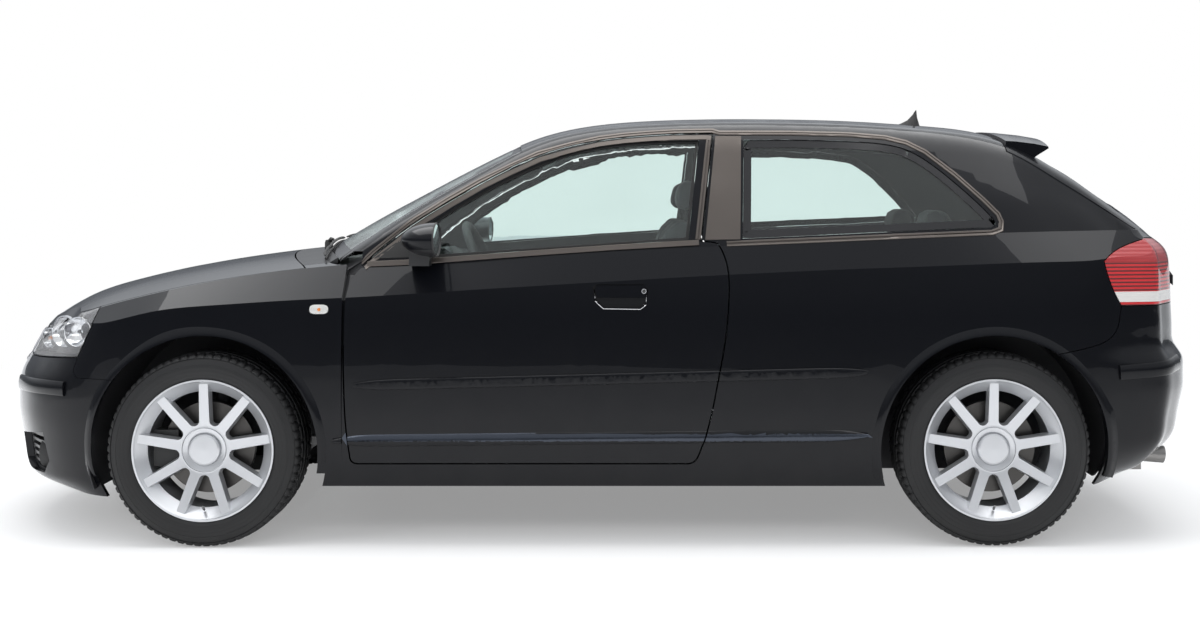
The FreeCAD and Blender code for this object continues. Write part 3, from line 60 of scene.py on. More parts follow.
PAINTED = ["bonnet", "front_wing_left", "front_wing_right", "front_bumper", "roof", "body_side_left",
           "body_side_right", "door_left", "door_right", "tailgate", "rear_bumper", "mirror_left",
           "mirror_right"]
GLAZED = ["windscreen", "quarter_glasses", "tailgate_glass", "door_glass_left", "door_glass_right"]
CASTINGS = ["front_subframe", "rear_axle", "knuckle_left", "knuckle_right", "engine_block", "radiator"]
UNDERSIDE = ["floor_pan", "engine_bay_frame"]
WHEELS = ["front_left", "front_right", "rear_left", "rear_right"]

# Directions in which the skin of the car is looked for.
LEFT = (0, 1, 0)
RIGHT = (0, -1, 0)
ABOVE = (0, 0, -1)
AHEAD = (1, 0, 0)
BEHIND = (-1, 0, 0)

# Distances between the points of a path, and how far below a skin a strip's edges lie.
FINE_STEP = 0.01
PATH_STEP = 0.02
WIDE_STEP = 0.03
SUNK = -0.003
SHARP_EDGE = math.radians(38)

FINE_GRAIN_CLOUD = 6.0
FINE_GRAIN_DEPTH = 0.0008
FILM_START = 0.1
FILM_CLOUD = 9.0
WEAVE_CLOUD = 14.0
WEAVE_DEPTH = 0.0006
DUST_COLOUR = (0.09, 0.085, 0.08)
WHITE = (1, 1, 1, 1)


# ---------------------------------------------------------------- shaders

class Graph:
    """A tree of shader nodes with short ways to add and feed its nodes."""

    def __init__(self, tree):
        self.tree = tree

    def feed(self, socket, value):
        """Joins another node's output to a socket, or sets the socket's own value."""
        if isinstance(value, bpy.types.NodeSocket):
            self.tree.links.new(value, socket)
        else:
            socket.default_value = value

    def node(self, kind, inputs=None, **settings):
        """A new node; its inputs are numbers, colours or other nodes' outputs."""
        made = self.tree.nodes.new(kind)
        for key, value in settings.items():
            setattr(made, key, value)
        for key, value in (inputs or {}).items():
            self.feed(made.inputs[key], value)
        return made

    def maths(self, operation, first, second=None):
        """The output of a maths node."""
        made = self.node("ShaderNodeMath", {0: first}, operation=operation)
        if second is not None:
            self.feed(made.inputs[1], second)
        return made.outputs[0]

    def blend(self, first, second, mask):
        """A colour between two colours or colour outputs, along a mask."""
        a, b = [end if isinstance(end, bpy.types.NodeSocket) else (*end, 1) for end in (first, second)]
        mix = self.node("ShaderNodeMix", {"A": a, "B": b, "Factor": mask}, data_type="RGBA")
        return mix.outputs["Result"]

    def place(self):
        """Where a point lies in its piece's own metres."""
        return self.node("ShaderNodeTexCoord").outputs["Object"]

    def height(self, place):
        """The Z of a place or direction."""
        return self.node("ShaderNodeSeparateXYZ", {0: place}).outputs["Z"]


class Finish(Graph):
    """A material that is being built round its Principled shader."""

    def __init__(self, name):
        self.material = bpy.data.materials.new(name)
        self.material.use_nodes = True
        super().__init__(self.material.node_tree)
        self.shader = self.tree.nodes["Principled BSDF"]

    def set(self, **values):
        """Feeds the shader's inputs, written with underscores for spaces."""
        for key, value in values.items():
            self.feed(self.shader.inputs[key.replace("_", " ")], value)

    def group(self, group_name, **values):
        """The outputs of a shared node group with its inputs set."""
        return self.node("ShaderNodeGroup", values, node_tree=bpy.data.node_groups[group_name]).outputs

    def tint(self, base, towards, mask):
        """Base colour that goes from one colour to another along a mask."""
        self.set(Base_Color=self.blend(base, towards, mask))

    def vary(self, mask, low, high):
        """Roughness that goes from a low to a high value along a mask."""
        spread = self.node("ShaderNodeMapRange", {"Value": mask, "To Min": low, "To Max": high})
        self.set(Roughness=spread.outputs["Result"])


def new_group(name, inputs, outputs):
    """An empty shader node group; returns its graph, its inputs' sockets and its outputs' sockets."""
    tree = bpy.data.node_groups.new(name, "ShaderNodeTree")
    for label, value in inputs.items():
        socket = tree.interface.new_socket(label, in_out="INPUT", socket_type="NodeSocketFloat")
        socket.default_value = value
    for label in outputs:
        kind = "NodeSocketVector" if label == "Normal" else "NodeSocketFloat"
        tree.interface.new_socket(label, in_out="OUTPUT", socket_type=kind)
    start, end = tree.nodes.new("NodeGroupInput"), tree.nodes.new("NodeGroupOutput")
    return Graph(tree), start.outputs, end.inputs


def build_fine_grain():
    """Moulded grain: a height and a slow cloud that varies the colour."""
    graph, start, end = new_group("fine_grain", {"Scale": 400.0, "Strength": 0.2}, ["Cloud", "Normal"])
    place = graph.place()
    cells = graph.node("ShaderNodeTexVoronoi", {"Vector": place, "Scale": start["Scale"]})
    cloud = graph.node("ShaderNodeTexNoise", {"Vector": place, "Scale": FINE_GRAIN_CLOUD})
    bump = graph.node("ShaderNodeBump", {"Distance": FINE_GRAIN_DEPTH, "Strength": start["Strength"],
                                         "Height": cells.outputs["Distance"]})
    graph.feed(end["Cloud"], cloud.outputs["Fac"])
    graph.feed(end["Normal"], bump.outputs["Normal"])


def build_road_film():
    """Thin dust that lies low on the car and thins out upwards; the output is a mask."""
    graph, start, end = new_group("road_film", {"Top": 0.7, "Amount": 0.15}, ["Mask"])
    place = graph.place()
    low = graph.node("ShaderNodeMapRange", {"Value": graph.height(place), "From Min": FILM_START,
                                            "From Max": start["Top"], "To Min": 1.0, "To Max": 0.0})
    cloud = graph.node("ShaderNodeTexNoise", {"Vector": place, "Scale": FILM_CLOUD, "Detail": 6.0})
    patches = graph.maths("MULTIPLY", low.outputs["Result"], cloud.outputs["Fac"])
    graph.feed(end["Mask"], graph.maths("MULTIPLY", patches, start["Amount"]))


def build_weave():
    """Two crossed threads: a height and a mask that varies the cloth's colour."""
    graph, start, end = new_group("weave", {"Scale": 900.0}, ["Thread", "Normal"])
    place = graph.place()
    threads = [graph.node("ShaderNodeTexWave", {"Distortion": 0.6, "Vector": place, "Scale": start["Scale"]},
                          bands_direction=direction).outputs["Fac"] for direction in ("X", "Z")]
    cross = graph.maths("MAXIMUM", *threads)
    cloud = graph.node("ShaderNodeTexNoise", {"Scale": WEAVE_CLOUD})
    bump = graph.node("ShaderNodeBump", {"Strength": 0.5, "Distance": WEAVE_DEPTH, "Height": cross})
    graph.feed(end["Thread"], graph.maths("MULTIPLY", cross, cloud.outputs["Fac"]))
    graph.feed(end["Normal"], bump.outputs["Normal"])


def paint_finish(colour):
    """Dark body paint under a clear coat, with dust low down."""
    finish = Finish("body_paint")
    finish.set(Metallic=0.2, Coat_Weight=1.0, Coat_Roughness=0.012, Coat_IOR=1.24, Specular_IOR_Level=0.1)
    dust = finish.group("road_film", Top=0.75, Amount=0.10)["Mask"]
    finish.tint(colour, DUST_COLOUR, dust)
    finish.vary(dust, 0.30, 0.9)
    return finish.material


def grained(finish, base, towards, roughness, grain, strength):
    """Gives a finish a grain, and a colour and a roughness that vary slowly between two values."""
    skin = finish.group("fine_grain", Scale=grain, Strength=strength)
    finish.tint(base, towards, skin["Cloud"])
    finish.vary(skin["Cloud"], *roughness)
    finish.set(Normal=skin["Normal"])
    return finish.material


def plastic_finish(name, colour, roughness, grain=500.0, strength=0.15):
    """Moulded plastic, rubber or smooth paint."""
    lighter = tuple(min(1, c * 1.35 + 0.004) for c in colour)
    return grained(Finish(name), colour, lighter, (roughness - 0.08, roughness + 0.08), grain, strength)


def metal_finish(name, colour, roughness, metallic=1.0, grain=250.0, strength=0.05):
    """Cast, plated or lacquered metal."""
    finish = Finish(name)
    finish.set(Metallic=metallic)
    darker = tuple(c * 0.8 for c in colour)
    return grained(finish, darker, colour, (roughness - 0.06, roughness + 0.08), grain, strength)


def cloth_finish(name, colour, scale):
    """Woven cloth; the scale sets how fine its threads are."""
    finish = Finish(name)
    threads = finish.group("weave", Scale=scale)
    finish.tint(colour, tuple(min(1, c * 2.2 + 0.01) for c in colour), threads["Thread"])
    finish.vary(threads["Thread"], 0.75, 0.95)
    finish.set(Sheen_Weight=0.3, Sheen_Roughness=0.5, Normal=threads["Normal"])
    return finish.material


def glass_finish(name, colour, roughness=0.0):
    """Clear or tinted glass."""
    finish = Finish(name)
    finish.set(Transmission_Weight=1.0, IOR=1.45, Roughness=roughness)
    cloud = finish.node("ShaderNodeTexNoise", {"Scale": 2.0})
    finish.tint(colour, tuple(min(1, c * 1.06) for c in colour), cloud.outputs["Fac"])
    return finish.material


def amber_finish():
    """Orange lens plastic, made the first time it is asked for."""
    made = bpy.data.materials.get("amber_plastic")
    return made or plastic_finish("amber_plastic", (0.75, 0.22, 0.02), 0.2, grain=300.0, strength=0.05)


def stock(name):
    """A material that an earlier step has made."""
    return bpy.data.materials[name]


def wear(node, material):
    """Gives a CAD node or a piece one material."""
    node.data.materials.clear()
    node.data.materials.append(material)
    for face in node.data.polygons:
        face.material_index = 0


def line_faces(node, material, test):
    """Gives the faces of a CAD node that pass a test on their centre and normal a second material."""
    node.data.materials.append(material)
    last = len(node.data.materials) - 1
    for face in node.data.polygons:
        if test(face.center, face.normal):
            face.material_index = last


# ---------------------------------------------------------------- shapes: a shape is its vertices and faces

def make_piece(name, shape, material, body):
    """A new mesh piece with one material, which rides on a body."""
    mesh = bpy.data.meshes.new(name)
    mesh.from_pydata([tuple(v) for v in shape[0]], [], shape[1])
    mesh.validate()
    piece = bpy.data.objects.new(name, mesh)
    bpy.context.collection.objects.link(piece)
    piece.data.materials.append(material)
    turned = bmesh.new()
    turned.from_mesh(mesh)
    bmesh.ops.recalc_face_normals(turned, faces=turned.faces)
    turned.to_mesh(mesh)
    turned.free()
    mesh.polygons.foreach_set("use_smooth", [True] * len(mesh.polygons))
    mesh.set_sharp_from_angle(angle=SHARP_EDGE)
    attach(piece, body)
    return piece


def on_both_sides(name, shape, material, bodies=(BODY, BODY)):
    """The same piece on the left side and, mirrored, on the right side."""
    mirrored = [(v[0], -v[1], v[2]) for v in shape[0]], [tuple(reversed(f)) for f in shape[1]]
    make_piece(name + "_left", shape, material, bodies[0])
    make_piece(name + "_right", mirrored, material, bodies[1])


class Skin:
    """Finds points on the outside of some CAD nodes along one direction."""

    SIDE_START = 2.0
    END_START = 3.0
    NEAREST_FROM = 1.2
    REACHES = (0.003, 0.007, 0.013, 0.022, 0.035)
    TURNS = 8

    def __init__(self, direction, *names):
        vertices = []
        faces = []
        for name in names:
            mesh = NODES[name].data
            base = len(vertices)
            vertices += [v.co.copy() for v in mesh.vertices]
            faces += [tuple(base + i for i in face.vertices) for face in mesh.polygons]
        self.tree = BVHTree.FromPolygons(vertices, faces)
        self.direction = Vector(direction)

    def at(self, a, b, rise=0.0):
        """Point on the skin: a and b are x and z from the side, x and y from above, y and z from an end.

        A ray that falls into a gap is tried again a little beside it, and last the nearest point is taken.
        """
        look = self.direction
        if look.y:
            start = Vector((a, -self.SIDE_START * look.y, b))
        elif look.z:
            start = Vector((a, b, -self.END_START * look.z))
        else:
            start = Vector((-self.END_START * look.x, a, b))
        across = Vector((0, 0, 1)) if look.x else Vector((1, 0, 0))
        other = look.cross(across)
        beside = [(reach, turn) for reach in self.REACHES for turn in range(self.TURNS)]
        for reach, turn in [(0.0, 0)] + beside:
            angle = math.pi * turn / 4
            shift = across * (reach * math.cos(angle)) + other * (reach * math.sin(angle))
            hit, normal, _, _ = self.tree.ray_cast(start + shift, look)
            if hit is not None:
                break
        if hit is None:
            hit, normal, _, _ = self.tree.find_nearest(start + look * self.NEAREST_FROM)
        if normal.dot(look) > 0:
            normal = -normal
        return hit + normal * rise


def net(rows, width, rows_closed=False, width_closed=False, capped=False):
    """Faces between neighbouring rows of points of one width, with both end rows filled if asked."""
    faces = []
    for i in range(rows if rows_closed else rows - 1):
        up = ((i + 1) % rows - i) * width
        for j in range(width if width_closed else width - 1):
            a, b = i * width + j, i * width + (j + 1) % width
            faces.append((a, b, b + up, a + up))
    if capped:
        faces += [tuple(range(width)), tuple(reversed(range((rows - 1) * width, rows * width)))]
    return faces


def evenly(path, step=PATH_STEP, closed=False):
    """Points along a flat path, about one step apart, with its corners kept."""
    out = []
    count = len(path)
    for i in range(count if closed else count - 1):
        a = Vector(path[i])
        b = Vector(path[(i + 1) % count])
        parts = max(1, round((b - a).length / step))
        out += [a.lerp(b, k / parts) for k in range(parts)]
    if not closed:
        out.append(Vector(path[-1]))
    return out


def moved_out(path, distance, closed=False):
    """A flat path moved to its left side (negative: right) by a distance, with mitred corners."""
    shortest_run, reversal, mitre_limit = 1e-7, 1e-4, 0.55
    out = []
    count = len(path)
    for i, point in enumerate(path):
        before = path[(i - 1) % count] if closed or i else None
        after = path[(i + 1) % count] if closed or i < count - 1 else None
        normals = []
        for a, b in ((before, point), (point, after)):
            if a is not None and b is not None and (Vector(b) - Vector(a)).length > shortest_run:
                run = (Vector(b) - Vector(a)).normalized()
                normals.append(Vector((-run.y, run.x)))
        middle, stretch = normals[0], 1.0
        if len(normals) == 2:
            middle = normals[0] + normals[1]
            if middle.length < reversal:
                middle = normals[0]
            middle.normalize()
            stretch = 1.0 / max(mitre_limit, middle.dot(normals[0]))
        out.append(Vector(point) + middle * distance * stretch)
    return out


def ribbon(skin, path, profile, closed=False):
    """A strip that follows a skin: the profile is (across, rise) from its left edge to its right edge."""
    lines = [moved_out(path, -across, closed) for across, rise in profile]
    vertices = [skin.at(line[i].x, line[i].y, rise) for i in range(len(path))
                for line, (across, rise) in zip(lines, profile)]
    return vertices, net(len(path), len(profile), rows_closed=closed, capped=not closed)


def flat_profile(width, rise, edge=0.0015, sunk=SUNK):
    """Section of a strip with a flat top and chamfered edges."""
    half = width / 2
    left = [(-half, sunk), (-half, rise - edge), (-half + edge, rise)]
    return left + [(-across, up) for across, up in reversed(left)]


def grooved_profile(width, rise, edge=0.0015):
    """Section of a strip with a fine groove along its middle."""
    half = width / 2
    brink, bottom, depth = 0.0022, 0.0010, 0.0025
    left = [(-half, SUNK), (-half, rise - edge), (-half + edge, rise), (-brink, rise),
            (-bottom, rise - depth)]
    return left + [(-across, up) for across, up in reversed(left)]


def rim_of(name, axis_a, axis_b, test=None):
    """Outline of a CAD pane: the convex edge of its points in two axes, anticlockwise."""
    digits, straight = 5, 1e-9
    points = sorted({(round(v.co[axis_a], digits), round(v.co[axis_b], digits))
                     for v in NODES[name].data.vertices if test is None or test(v.co)})
    chain = []
    for sequence in (points, points[::-1]):
        start = len(chain)
        for p in sequence:
            while len(chain) >= start + 2:
                ax, ay = chain[-1][0] - chain[-2][0], chain[-1][1] - chain[-2][1]
                bx, by = p[0] - chain[-1][0], p[1] - chain[-1][1]
                if ax * by - ay * bx > straight:
                    break
                chain.pop()
            chain.append(p)
        chain.pop()
    return chain


def taken(made):
    """The shape of a bmesh, which is freed."""
    made.verts.index_update()
    shape = [v.co.copy() for v in made.verts], [tuple(v.index for v in f.verts) for f in made.faces]
    made.free()
    return shape


def extruded(made, outline, push):
    """Adds a flat face with that outline to a bmesh and pushes it out into a block."""
    face = made.faces.new([made.verts.new(p) for p in outline])
    grown = bmesh.ops.extrude_face_region(made, geom=[face])
    moved = [v for v in grown["geom"] if isinstance(v, bmesh.types.BMVert)]
    bmesh.ops.translate(made, verts=moved, vec=(0, push, 0))


def patch(skin, outline, rise, thickness, step=PATH_STEP, edge=0.0):
    """A thin plate with a flat outline that lies on a skin."""
    face = bmesh.new()
    face.faces.new([face.verts.new((p[0], p[1], 0)) for p in evenly(outline, step, True)])
    low = min(p[0] for p in outline), min(p[1] for p in outline)
    high = max(p[0] for p in outline), max(p[1] for p in outline)
    for axis, (start, end) in enumerate(zip(low, high)):
        cuts = int((end - start) / step)
        for k in range(1, cuts + 1):
            place = [0, 0, 0]
            place[axis] = start + k * (end - start) / (cuts + 1)
            normal = [0, 0, 0]
            normal[axis] = 1
            bmesh.ops.bisect_plane(face, geom=face.verts[:] + face.edges[:] + face.faces[:], plane_co=place,
                                   plane_no=normal)
    face.verts.index_update()
    rim = {v.index for v in face.verts if v.is_boundary}
    top = [skin.at(v.co.x, v.co.y, rise - (edge if v.index in rim else 0)) for v in face.verts]
    under = [skin.at(v.co.x, v.co.y, rise - thickness) for v in face.verts]
    count = len(top)
    faces = [tuple(v.index for v in f.verts) for f in face.faces]
    faces += [tuple(v.index + count for v in reversed(f.verts)) for f in face.faces]
    for e in face.edges:
        if e.is_boundary:
            a, b = e.verts[0].index, e.verts[1].index
            faces.append((a, b, b + count, a + count))
    face.free()
    return top + under, faces


def lathe(profile, steps, centre, axis="y"):
    """Turns (radius, along) points about an axis through a centre."""
    vertices = []
    for i in range(steps):
        angle = 2 * math.pi * i / steps
        for radius, along in profile:
            a, b = radius * math.cos(angle), radius * math.sin(angle)
            shift = {"x": (along, a, b), "y": (a, along, b), "z": (a, b, along)}[axis]
            vertices.append(tuple(middle + way for middle, way in zip(centre, shift)))
    return vertices, net(steps, len(profile), rows_closed=True)


def round_box(low, high, radius):
    """A box with rounded edges between two corners."""
    made = bmesh.new()
    bmesh.ops.create_cube(made, size=1)
    centre = (Vector(low) + Vector(high)) / 2
    span = Vector(high) - Vector(low)
    for v in made.verts:
        v.co = Vector((v.co.x * span.x, v.co.y * span.y, v.co.z * span.z)) + centre
    bmesh.ops.bevel(made, geom=made.edges[:], offset=radius, segments=3, affect="EDGES", profile=0.5)
    return taken(made)


def joined(*shapes):
    """Several shapes as one."""
    vertices = []
    faces = []
    for some, more in shapes:
        base = len(vertices)
        vertices += [tuple(v) for v in some]
        faces += [tuple(base + i for i in f) for f in more]
    return vertices, faces


def rod(points, radius, sides=10):
    """A bar of round section through points in space, of one radius or one for each point."""
    steepest = 0.1
    vertices = []
    points = [Vector(p) for p in points]
    sizes = radius if isinstance(radius, (list, tuple)) else [radius] * len(points)
    for i, p in enumerate(points):
        run = (points[min(i + 1, len(points) - 1)] - points[max(i - 1, 0)]).normalized()
        side = run.cross(Vector((0, 0, 1)))
        if side.length < steepest:
            side = run.cross(Vector((1, 0, 0)))
        side.normalize()
        up = side.cross(run)
        for k in range(sides):
            angle = 2 * math.pi * k / sides
            vertices.append(p + side * math.cos(angle) * sizes[i] + up * math.sin(angle) * sizes[i])
    return vertices, net(len(points), sides, width_closed=True, capped=True)


def rounded_loop(centre, halves, powers, count):
    """A closed flat outline between an ellipse (powers of 1) and a rectangle (powers of 0)."""
    out = []
    for k in range(count):
        angle = 2 * math.pi * k / count
        turns = (math.cos(angle), math.sin(angle))
        out.append(tuple(middle + half * math.copysign(abs(turn) ** power, turn)
                         for middle, half, power, turn in zip(centre, halves, powers, turns)))
    return out



# ---------------------------------------------------------------- settings

def colour_setting(label, text, value):
    """A colour that the user can change."""
    return FloatVectorProperty(name=label, description=text, subtype="COLOR", size=3, min=0, max=1,
                               default=value)


class CarSettings(bpy.types.PropertyGroup):
    """Colours and sizes that a user of the car would change."""

    paint_colour: colour_setting("Paint", "Colour of the body paint", (0.0028, 0.0032, 0.0048))
    trim_colour: colour_setting("Window trim", "Colour of the satin trim round the side windows",
                                (0.12, 0.105, 0.095))
    alloy_colour: colour_setting("Wheels", "Colour of the alloy wheels", (0.62, 0.63, 0.65))
    glass_colour: colour_setting("Glass", "Tint of the windows", (0.80, 0.90, 0.88))
    seat_colour: colour_setting("Seats", "Colour of the seat cloth", (0.03, 0.03, 0.033))
    floor_colour: colour_setting("Floor", "Colour of the studio floor", (0.9, 0.9, 0.9))
    eye_distance: FloatProperty(
        name="Camera distance", description="Distance from the camera to the car's left side",
        unit="LENGTH", default=4.9, min=2, max=20)
    eye_height: FloatProperty(
        name="Camera height", description="Height of the camera above the ground", unit="LENGTH",
        default=1.131, min=0.2, max=4)


def settings():
    """The car's settings in the open scene."""
    return bpy.context.scene.car_settings


# ---------------------------------------------------------------- body

# How far a normal turns towards a side to count as facing it, and where cabin, the sill strips with their
# painted reflection, and linings lie.
FACING = 0.35
SILL_TOP = 0.3
CABIN_FRONT = -0.82
CARPET_END = 1.9
STRIP_BOTTOM, STRIP_TOP, STRIP_END, STRIP_SIDE = 0.349, 0.3715, 0.93, 0.84
MIRROR_FOOT = 0.972
DISC_RADIUS = 0.152
DISC_DEPTH = 0.0235


class CAR_OT_panels(bpy.types.Operator):
    """Paints the body panels and dresses the plain chassis nodes"""
    bl_idname = "car.panels"
    bl_label = "Body Panels"

    def execute(self, context):
        chosen = settings()
        build_fine_grain()
        build_road_film()
        build_weave()
        paint = paint_finish(chosen.paint_colour)
        inner = plastic_finish("inner_trim", (0.028, 0.028, 0.031), 0.6, strength=0.3)
        liner = cloth_finish("roof_lining", (0.16, 0.155, 0.145), 500.0)
        black = plastic_finish("black_plastic", (0.012, 0.012, 0.013), 0.35, grain=300.0, strength=0.1)
        for name in PAINTED:
            wear(NODES[name], paint)
        line_faces(NODES["roof"], liner, lambda c, n: n.z < -0.4)
        for side, sign in (("left", 1), ("right", -1)):
            for part in ("door_", "body_side_"):
                line_faces(NODES[part + side], inner, lambda c, n: n.y * sign > FACING and c.z > SILL_TOP)
            line_faces(NODES["mirror_" + side], black, lambda c, n: c.z < MIRROR_FOOT or n.x > 0.7)
        line_faces(NODES["tailgate"], inner,
                   lambda c, n: n.x < -FACING or (n.z < -0.6 and abs(c.y) < 0.5 and c.x < 1.6))
        glass = glass_finish("window_glass", chosen.glass_colour)
        for name in GLAZED:
            wear(NODES[name], glass)
        casting = metal_finish("chassis_casting", (0.05, 0.05, 0.05), 0.55, metallic=0.6)
        for name in CASTINGS:
            wear(NODES[name], casting)
        disc = metal_finish("brake_disc", (0.11, 0.105, 0.10), 0.42)
        # Painted reflection: the sill strips are body paint, and their faces get a lighter metallic grey that
        # stands in for the sky they reflect.
        painted_reflection = metal_finish("strip_sheen", (0.060, 0.068, 0.085), 0.22, metallic=0.9, grain=300.0,
                             strength=0.0)
        for name in ("door_left", "door_right", "body_side_left", "body_side_right"):
            line_faces(NODES[name], painted_reflection, lambda c, n: abs(n.y) > 0.2 and abs(c.y) > STRIP_SIDE
                       and STRIP_BOTTOM < c.z < STRIP_TOP and CABIN_FRONT < c.x < STRIP_END)
        sealed = plastic_finish("sealed_underbody", (0.018, 0.018, 0.02), 0.7, grain=120.0, strength=0.4)
        carpet = cloth_finish("floor_carpet", (0.022, 0.022, 0.024), 700.0)
        for name in UNDERSIDE:
            wear(NODES[name], sealed)
        line_faces(NODES["floor_pan"], carpet, lambda c, n: n.z > 0.3 and CABIN_FRONT < c.x < CARPET_END)
        alloy = metal_finish("silver_alloy", chosen.alloy_colour, 0.30, metallic=0.75)
        for place in WHEELS:
            self.wheel(place, alloy, disc)
        for name in ("grille", "bumper_grilles", "scuttle"):
            wear(NODES[name], black)
        cabin = plastic_finish("cabin_plastic", (0.02, 0.02, 0.022), 0.6, strength=0.3)
        for name in ("dashboard", "steering_wheel"):
            wear(NODES[name], cabin)
        wear(NODES["exhaust"], metal_finish("exhaust_steel", (0.3, 0.29, 0.28), 0.4))
        return {"FINISHED"}

    def wheel(self, place, alloy, disc):
        """An alloy wheel; the faces of its brake disc wear their own metal."""
        wheel = NODES["wheel_" + place]
        wear(wheel, alloy)
        low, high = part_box("wheel_" + place)
        centre = (low + high) / 2

        def within(point):
            return math.hypot(point.x - centre.x, point.z - centre.z) < DISC_RADIUS
        inside = min(abs(face.center.y) for face in wheel.data.polygons if within(face.center))
        line_faces(wheel, disc, lambda c, n: within(c) and abs(c.y) < inside + DISC_DEPTH)


# ---------------------------------------------------------------- window trim, in x and z from the side

DOOR_TOP_EDGE = [(-0.735, 0.914), (-0.700, 0.948), (-0.575, 1.050), (-0.460, 1.124), (-0.351, 1.188),
                 (-0.255, 1.236), (-0.160, 1.280), (-0.055, 1.309), (0.046, 1.332), (0.130, 1.343),
                 (0.217, 1.350), (0.300, 1.355), (0.429, 1.357)]
DOOR_REAR_EDGE = [(0.4185, 1.341), (0.3755, 1.0)]
DOOR_BELT = [(-0.72, 0.917), (-0.56, 0.925), (-0.40, 0.937), (-0.147, 0.956), (0.10, 0.973), (0.378, 0.989)]
MIRROR_SAIL = [(-0.70, 0.936), (-0.568, 0.941), (-0.568, 1.034), (-0.605, 1.006)]
REAR_WINDOW_EDGE = [(0.455, 1.3600), (0.70, 1.3600), (0.901, 1.3550), (1.024, 1.3445), (1.094, 1.3275),
                    (1.155, 1.2960), (1.250, 1.2170), (1.336, 1.1325), (1.381, 1.0830), (1.389, 1.0580),
                    (1.384, 1.0330), (1.352, 1.0225), (1.041, 1.0105), (0.780, 0.9990), (0.470, 0.9860)]
PILLAR = [(0.399, 0.9985), (0.515, 1.0000), (0.528, 1.3480), (0.4405, 1.3480)]
TRIM_RISE = 0.003
TRIM_BELOW_EDGE = -0.0125
TRIM_ABOVE_EDGE = 0.0105
# Black border printed on a pane: how high it lies, its chamfer and how deep its edges sink.
PRINT = (0.0006, 0.0003, 0.0001)


class CAR_OT_window_trim(bpy.types.Operator):
    """Adds the satin trim, the pillar panels and the black glass borders round the windows"""
    bl_idname = "car.window_trim"
    bl_label = "Window Trim"

    def execute(self, context):
        satin = metal_finish("satin_trim", settings().trim_colour, 0.36, metallic=0.8, grain=900.0,
                             strength=0.02)
        border = plastic_finish("glass_border", (0.006, 0.006, 0.007), 0.12, grain=200.0, strength=0.0)
        seal = plastic_finish("rubber_seal", (0.008, 0.008, 0.008), 0.7, strength=0.2)
        self.door_frame(Skin(LEFT, "door_left"), satin, seal)
        self.body_band(Skin(LEFT, "body_side_left"), satin)
        self.borders(border, seal)
        return {"FINISHED"}

    def door_frame(self, door, satin, seal):
        """Trim round the door's window and the small panel in its front corner."""
        top = moved_out(evenly(DOOR_TOP_EDGE), TRIM_BELOW_EDGE)
        for name, line, profile in (
                ("door_frame_trim", top, flat_profile(0.016, TRIM_RISE)),
                ("door_rear_trim", evenly(DOOR_REAR_EDGE), grooved_profile(0.019, TRIM_RISE)),
                ("door_belt_trim", evenly(DOOR_BELT), flat_profile(0.017, 0.007))):
            on_both_sides(name, ribbon(door, line, profile), satin, DOORS)
        on_both_sides("mirror_sail", patch(door, MIRROR_SAIL, rise=0.003, thickness=0.005), seal, DOORS)

    def body_band(self, side, satin):
        """The band on the body above the door and round the rear window, and the pillar between them."""
        front = moved_out(evenly(DOOR_TOP_EDGE), TRIM_ABOVE_EDGE)
        band = ribbon(side, front + evenly(REAR_WINDOW_EDGE), grooved_profile(0.017, TRIM_RISE))
        on_both_sides("side_window_band", band, satin)
        panel = patch(side, PILLAR, rise=0.0025, thickness=0.006, step=WIDE_STEP)
        on_both_sides("pillar_panel", panel, satin)

    def borders(self, border, seal):
        """Printed borders of the fixed panes and the seals of the door windows."""
        rim = evenly(rim_of("quarter_glasses", 0, 2, lambda co: co.y < 0), closed=True)
        shape = ribbon(Skin(LEFT, "quarter_glasses"), moved_out(rim, 0.012, True),
                       flat_profile(0.030, *PRINT), True)
        on_both_sides("quarter_glass_border", shape, border)
        rim = evenly(rim_of("door_glass_left", 0, 2), closed=True)
        shape = ribbon(Skin(LEFT, "door_glass_left"), moved_out(rim, 0.004, True),
                       flat_profile(0.012, 0.004, 0.001, -0.001), True)
        on_both_sides("door_glass_seal", shape, seal, DOORS)
        for name, body in (("windscreen", BODY), ("tailgate_glass", TAILGATE)):
            rim = evenly(rim_of(name, 0, 1), WIDE_STEP, True)
            shape = ribbon(Skin(ABOVE, name), moved_out(rim, 0.020, True), flat_profile(0.044, *PRINT), True)
            make_piece(name + "_border", shape, border, body)


# ---------------------------------------------------------------- side details, in x and z from the side

HANDLE_FLAP = [(0.040, 0.8535), (0.197, 0.8535), (0.206, 0.837), (0.203, 0.812), (0.044, 0.812),
               (0.0345, 0.838)]
HANDLE_RIM = [(0.0325, 0.838), (0.038, 0.800), (0.064, 0.777), (0.184, 0.775), (0.2015, 0.788),
              (0.2075, 0.838)]
HANDLE_PLACE = (0.12, 0.765)
LOCK_X, LOCK_Z = 0.196, 0.834
LOCK = [(0.0001, -0.003), (0.0050, -0.003), (0.0056, -0.002), (0.0056, 0.006)]
LOCK_RING = [(0.0058, 0.004), (0.0058, -0.002), (0.0080, -0.002), (0.0086, 0.0), (0.0086, 0.006)]
REPEATER = (-0.863, 0.775)
REPEATER_BULB = [(0.0001, -0.0012), (0.0035, -0.0008), (0.0055, 0.0), (0.0055, 0.002)]
SKIRT_SECTION = [(0.390, -0.825), (0.390, -0.500), (0.394, -0.500), (0.394, -0.825)]
SKIRT_STEPS = 10
SKIRT_SWEEP = 20
MIRROR_CENTRE = (-0.884, 1.002)
MIRROR_HALVES = (0.104, 0.056)
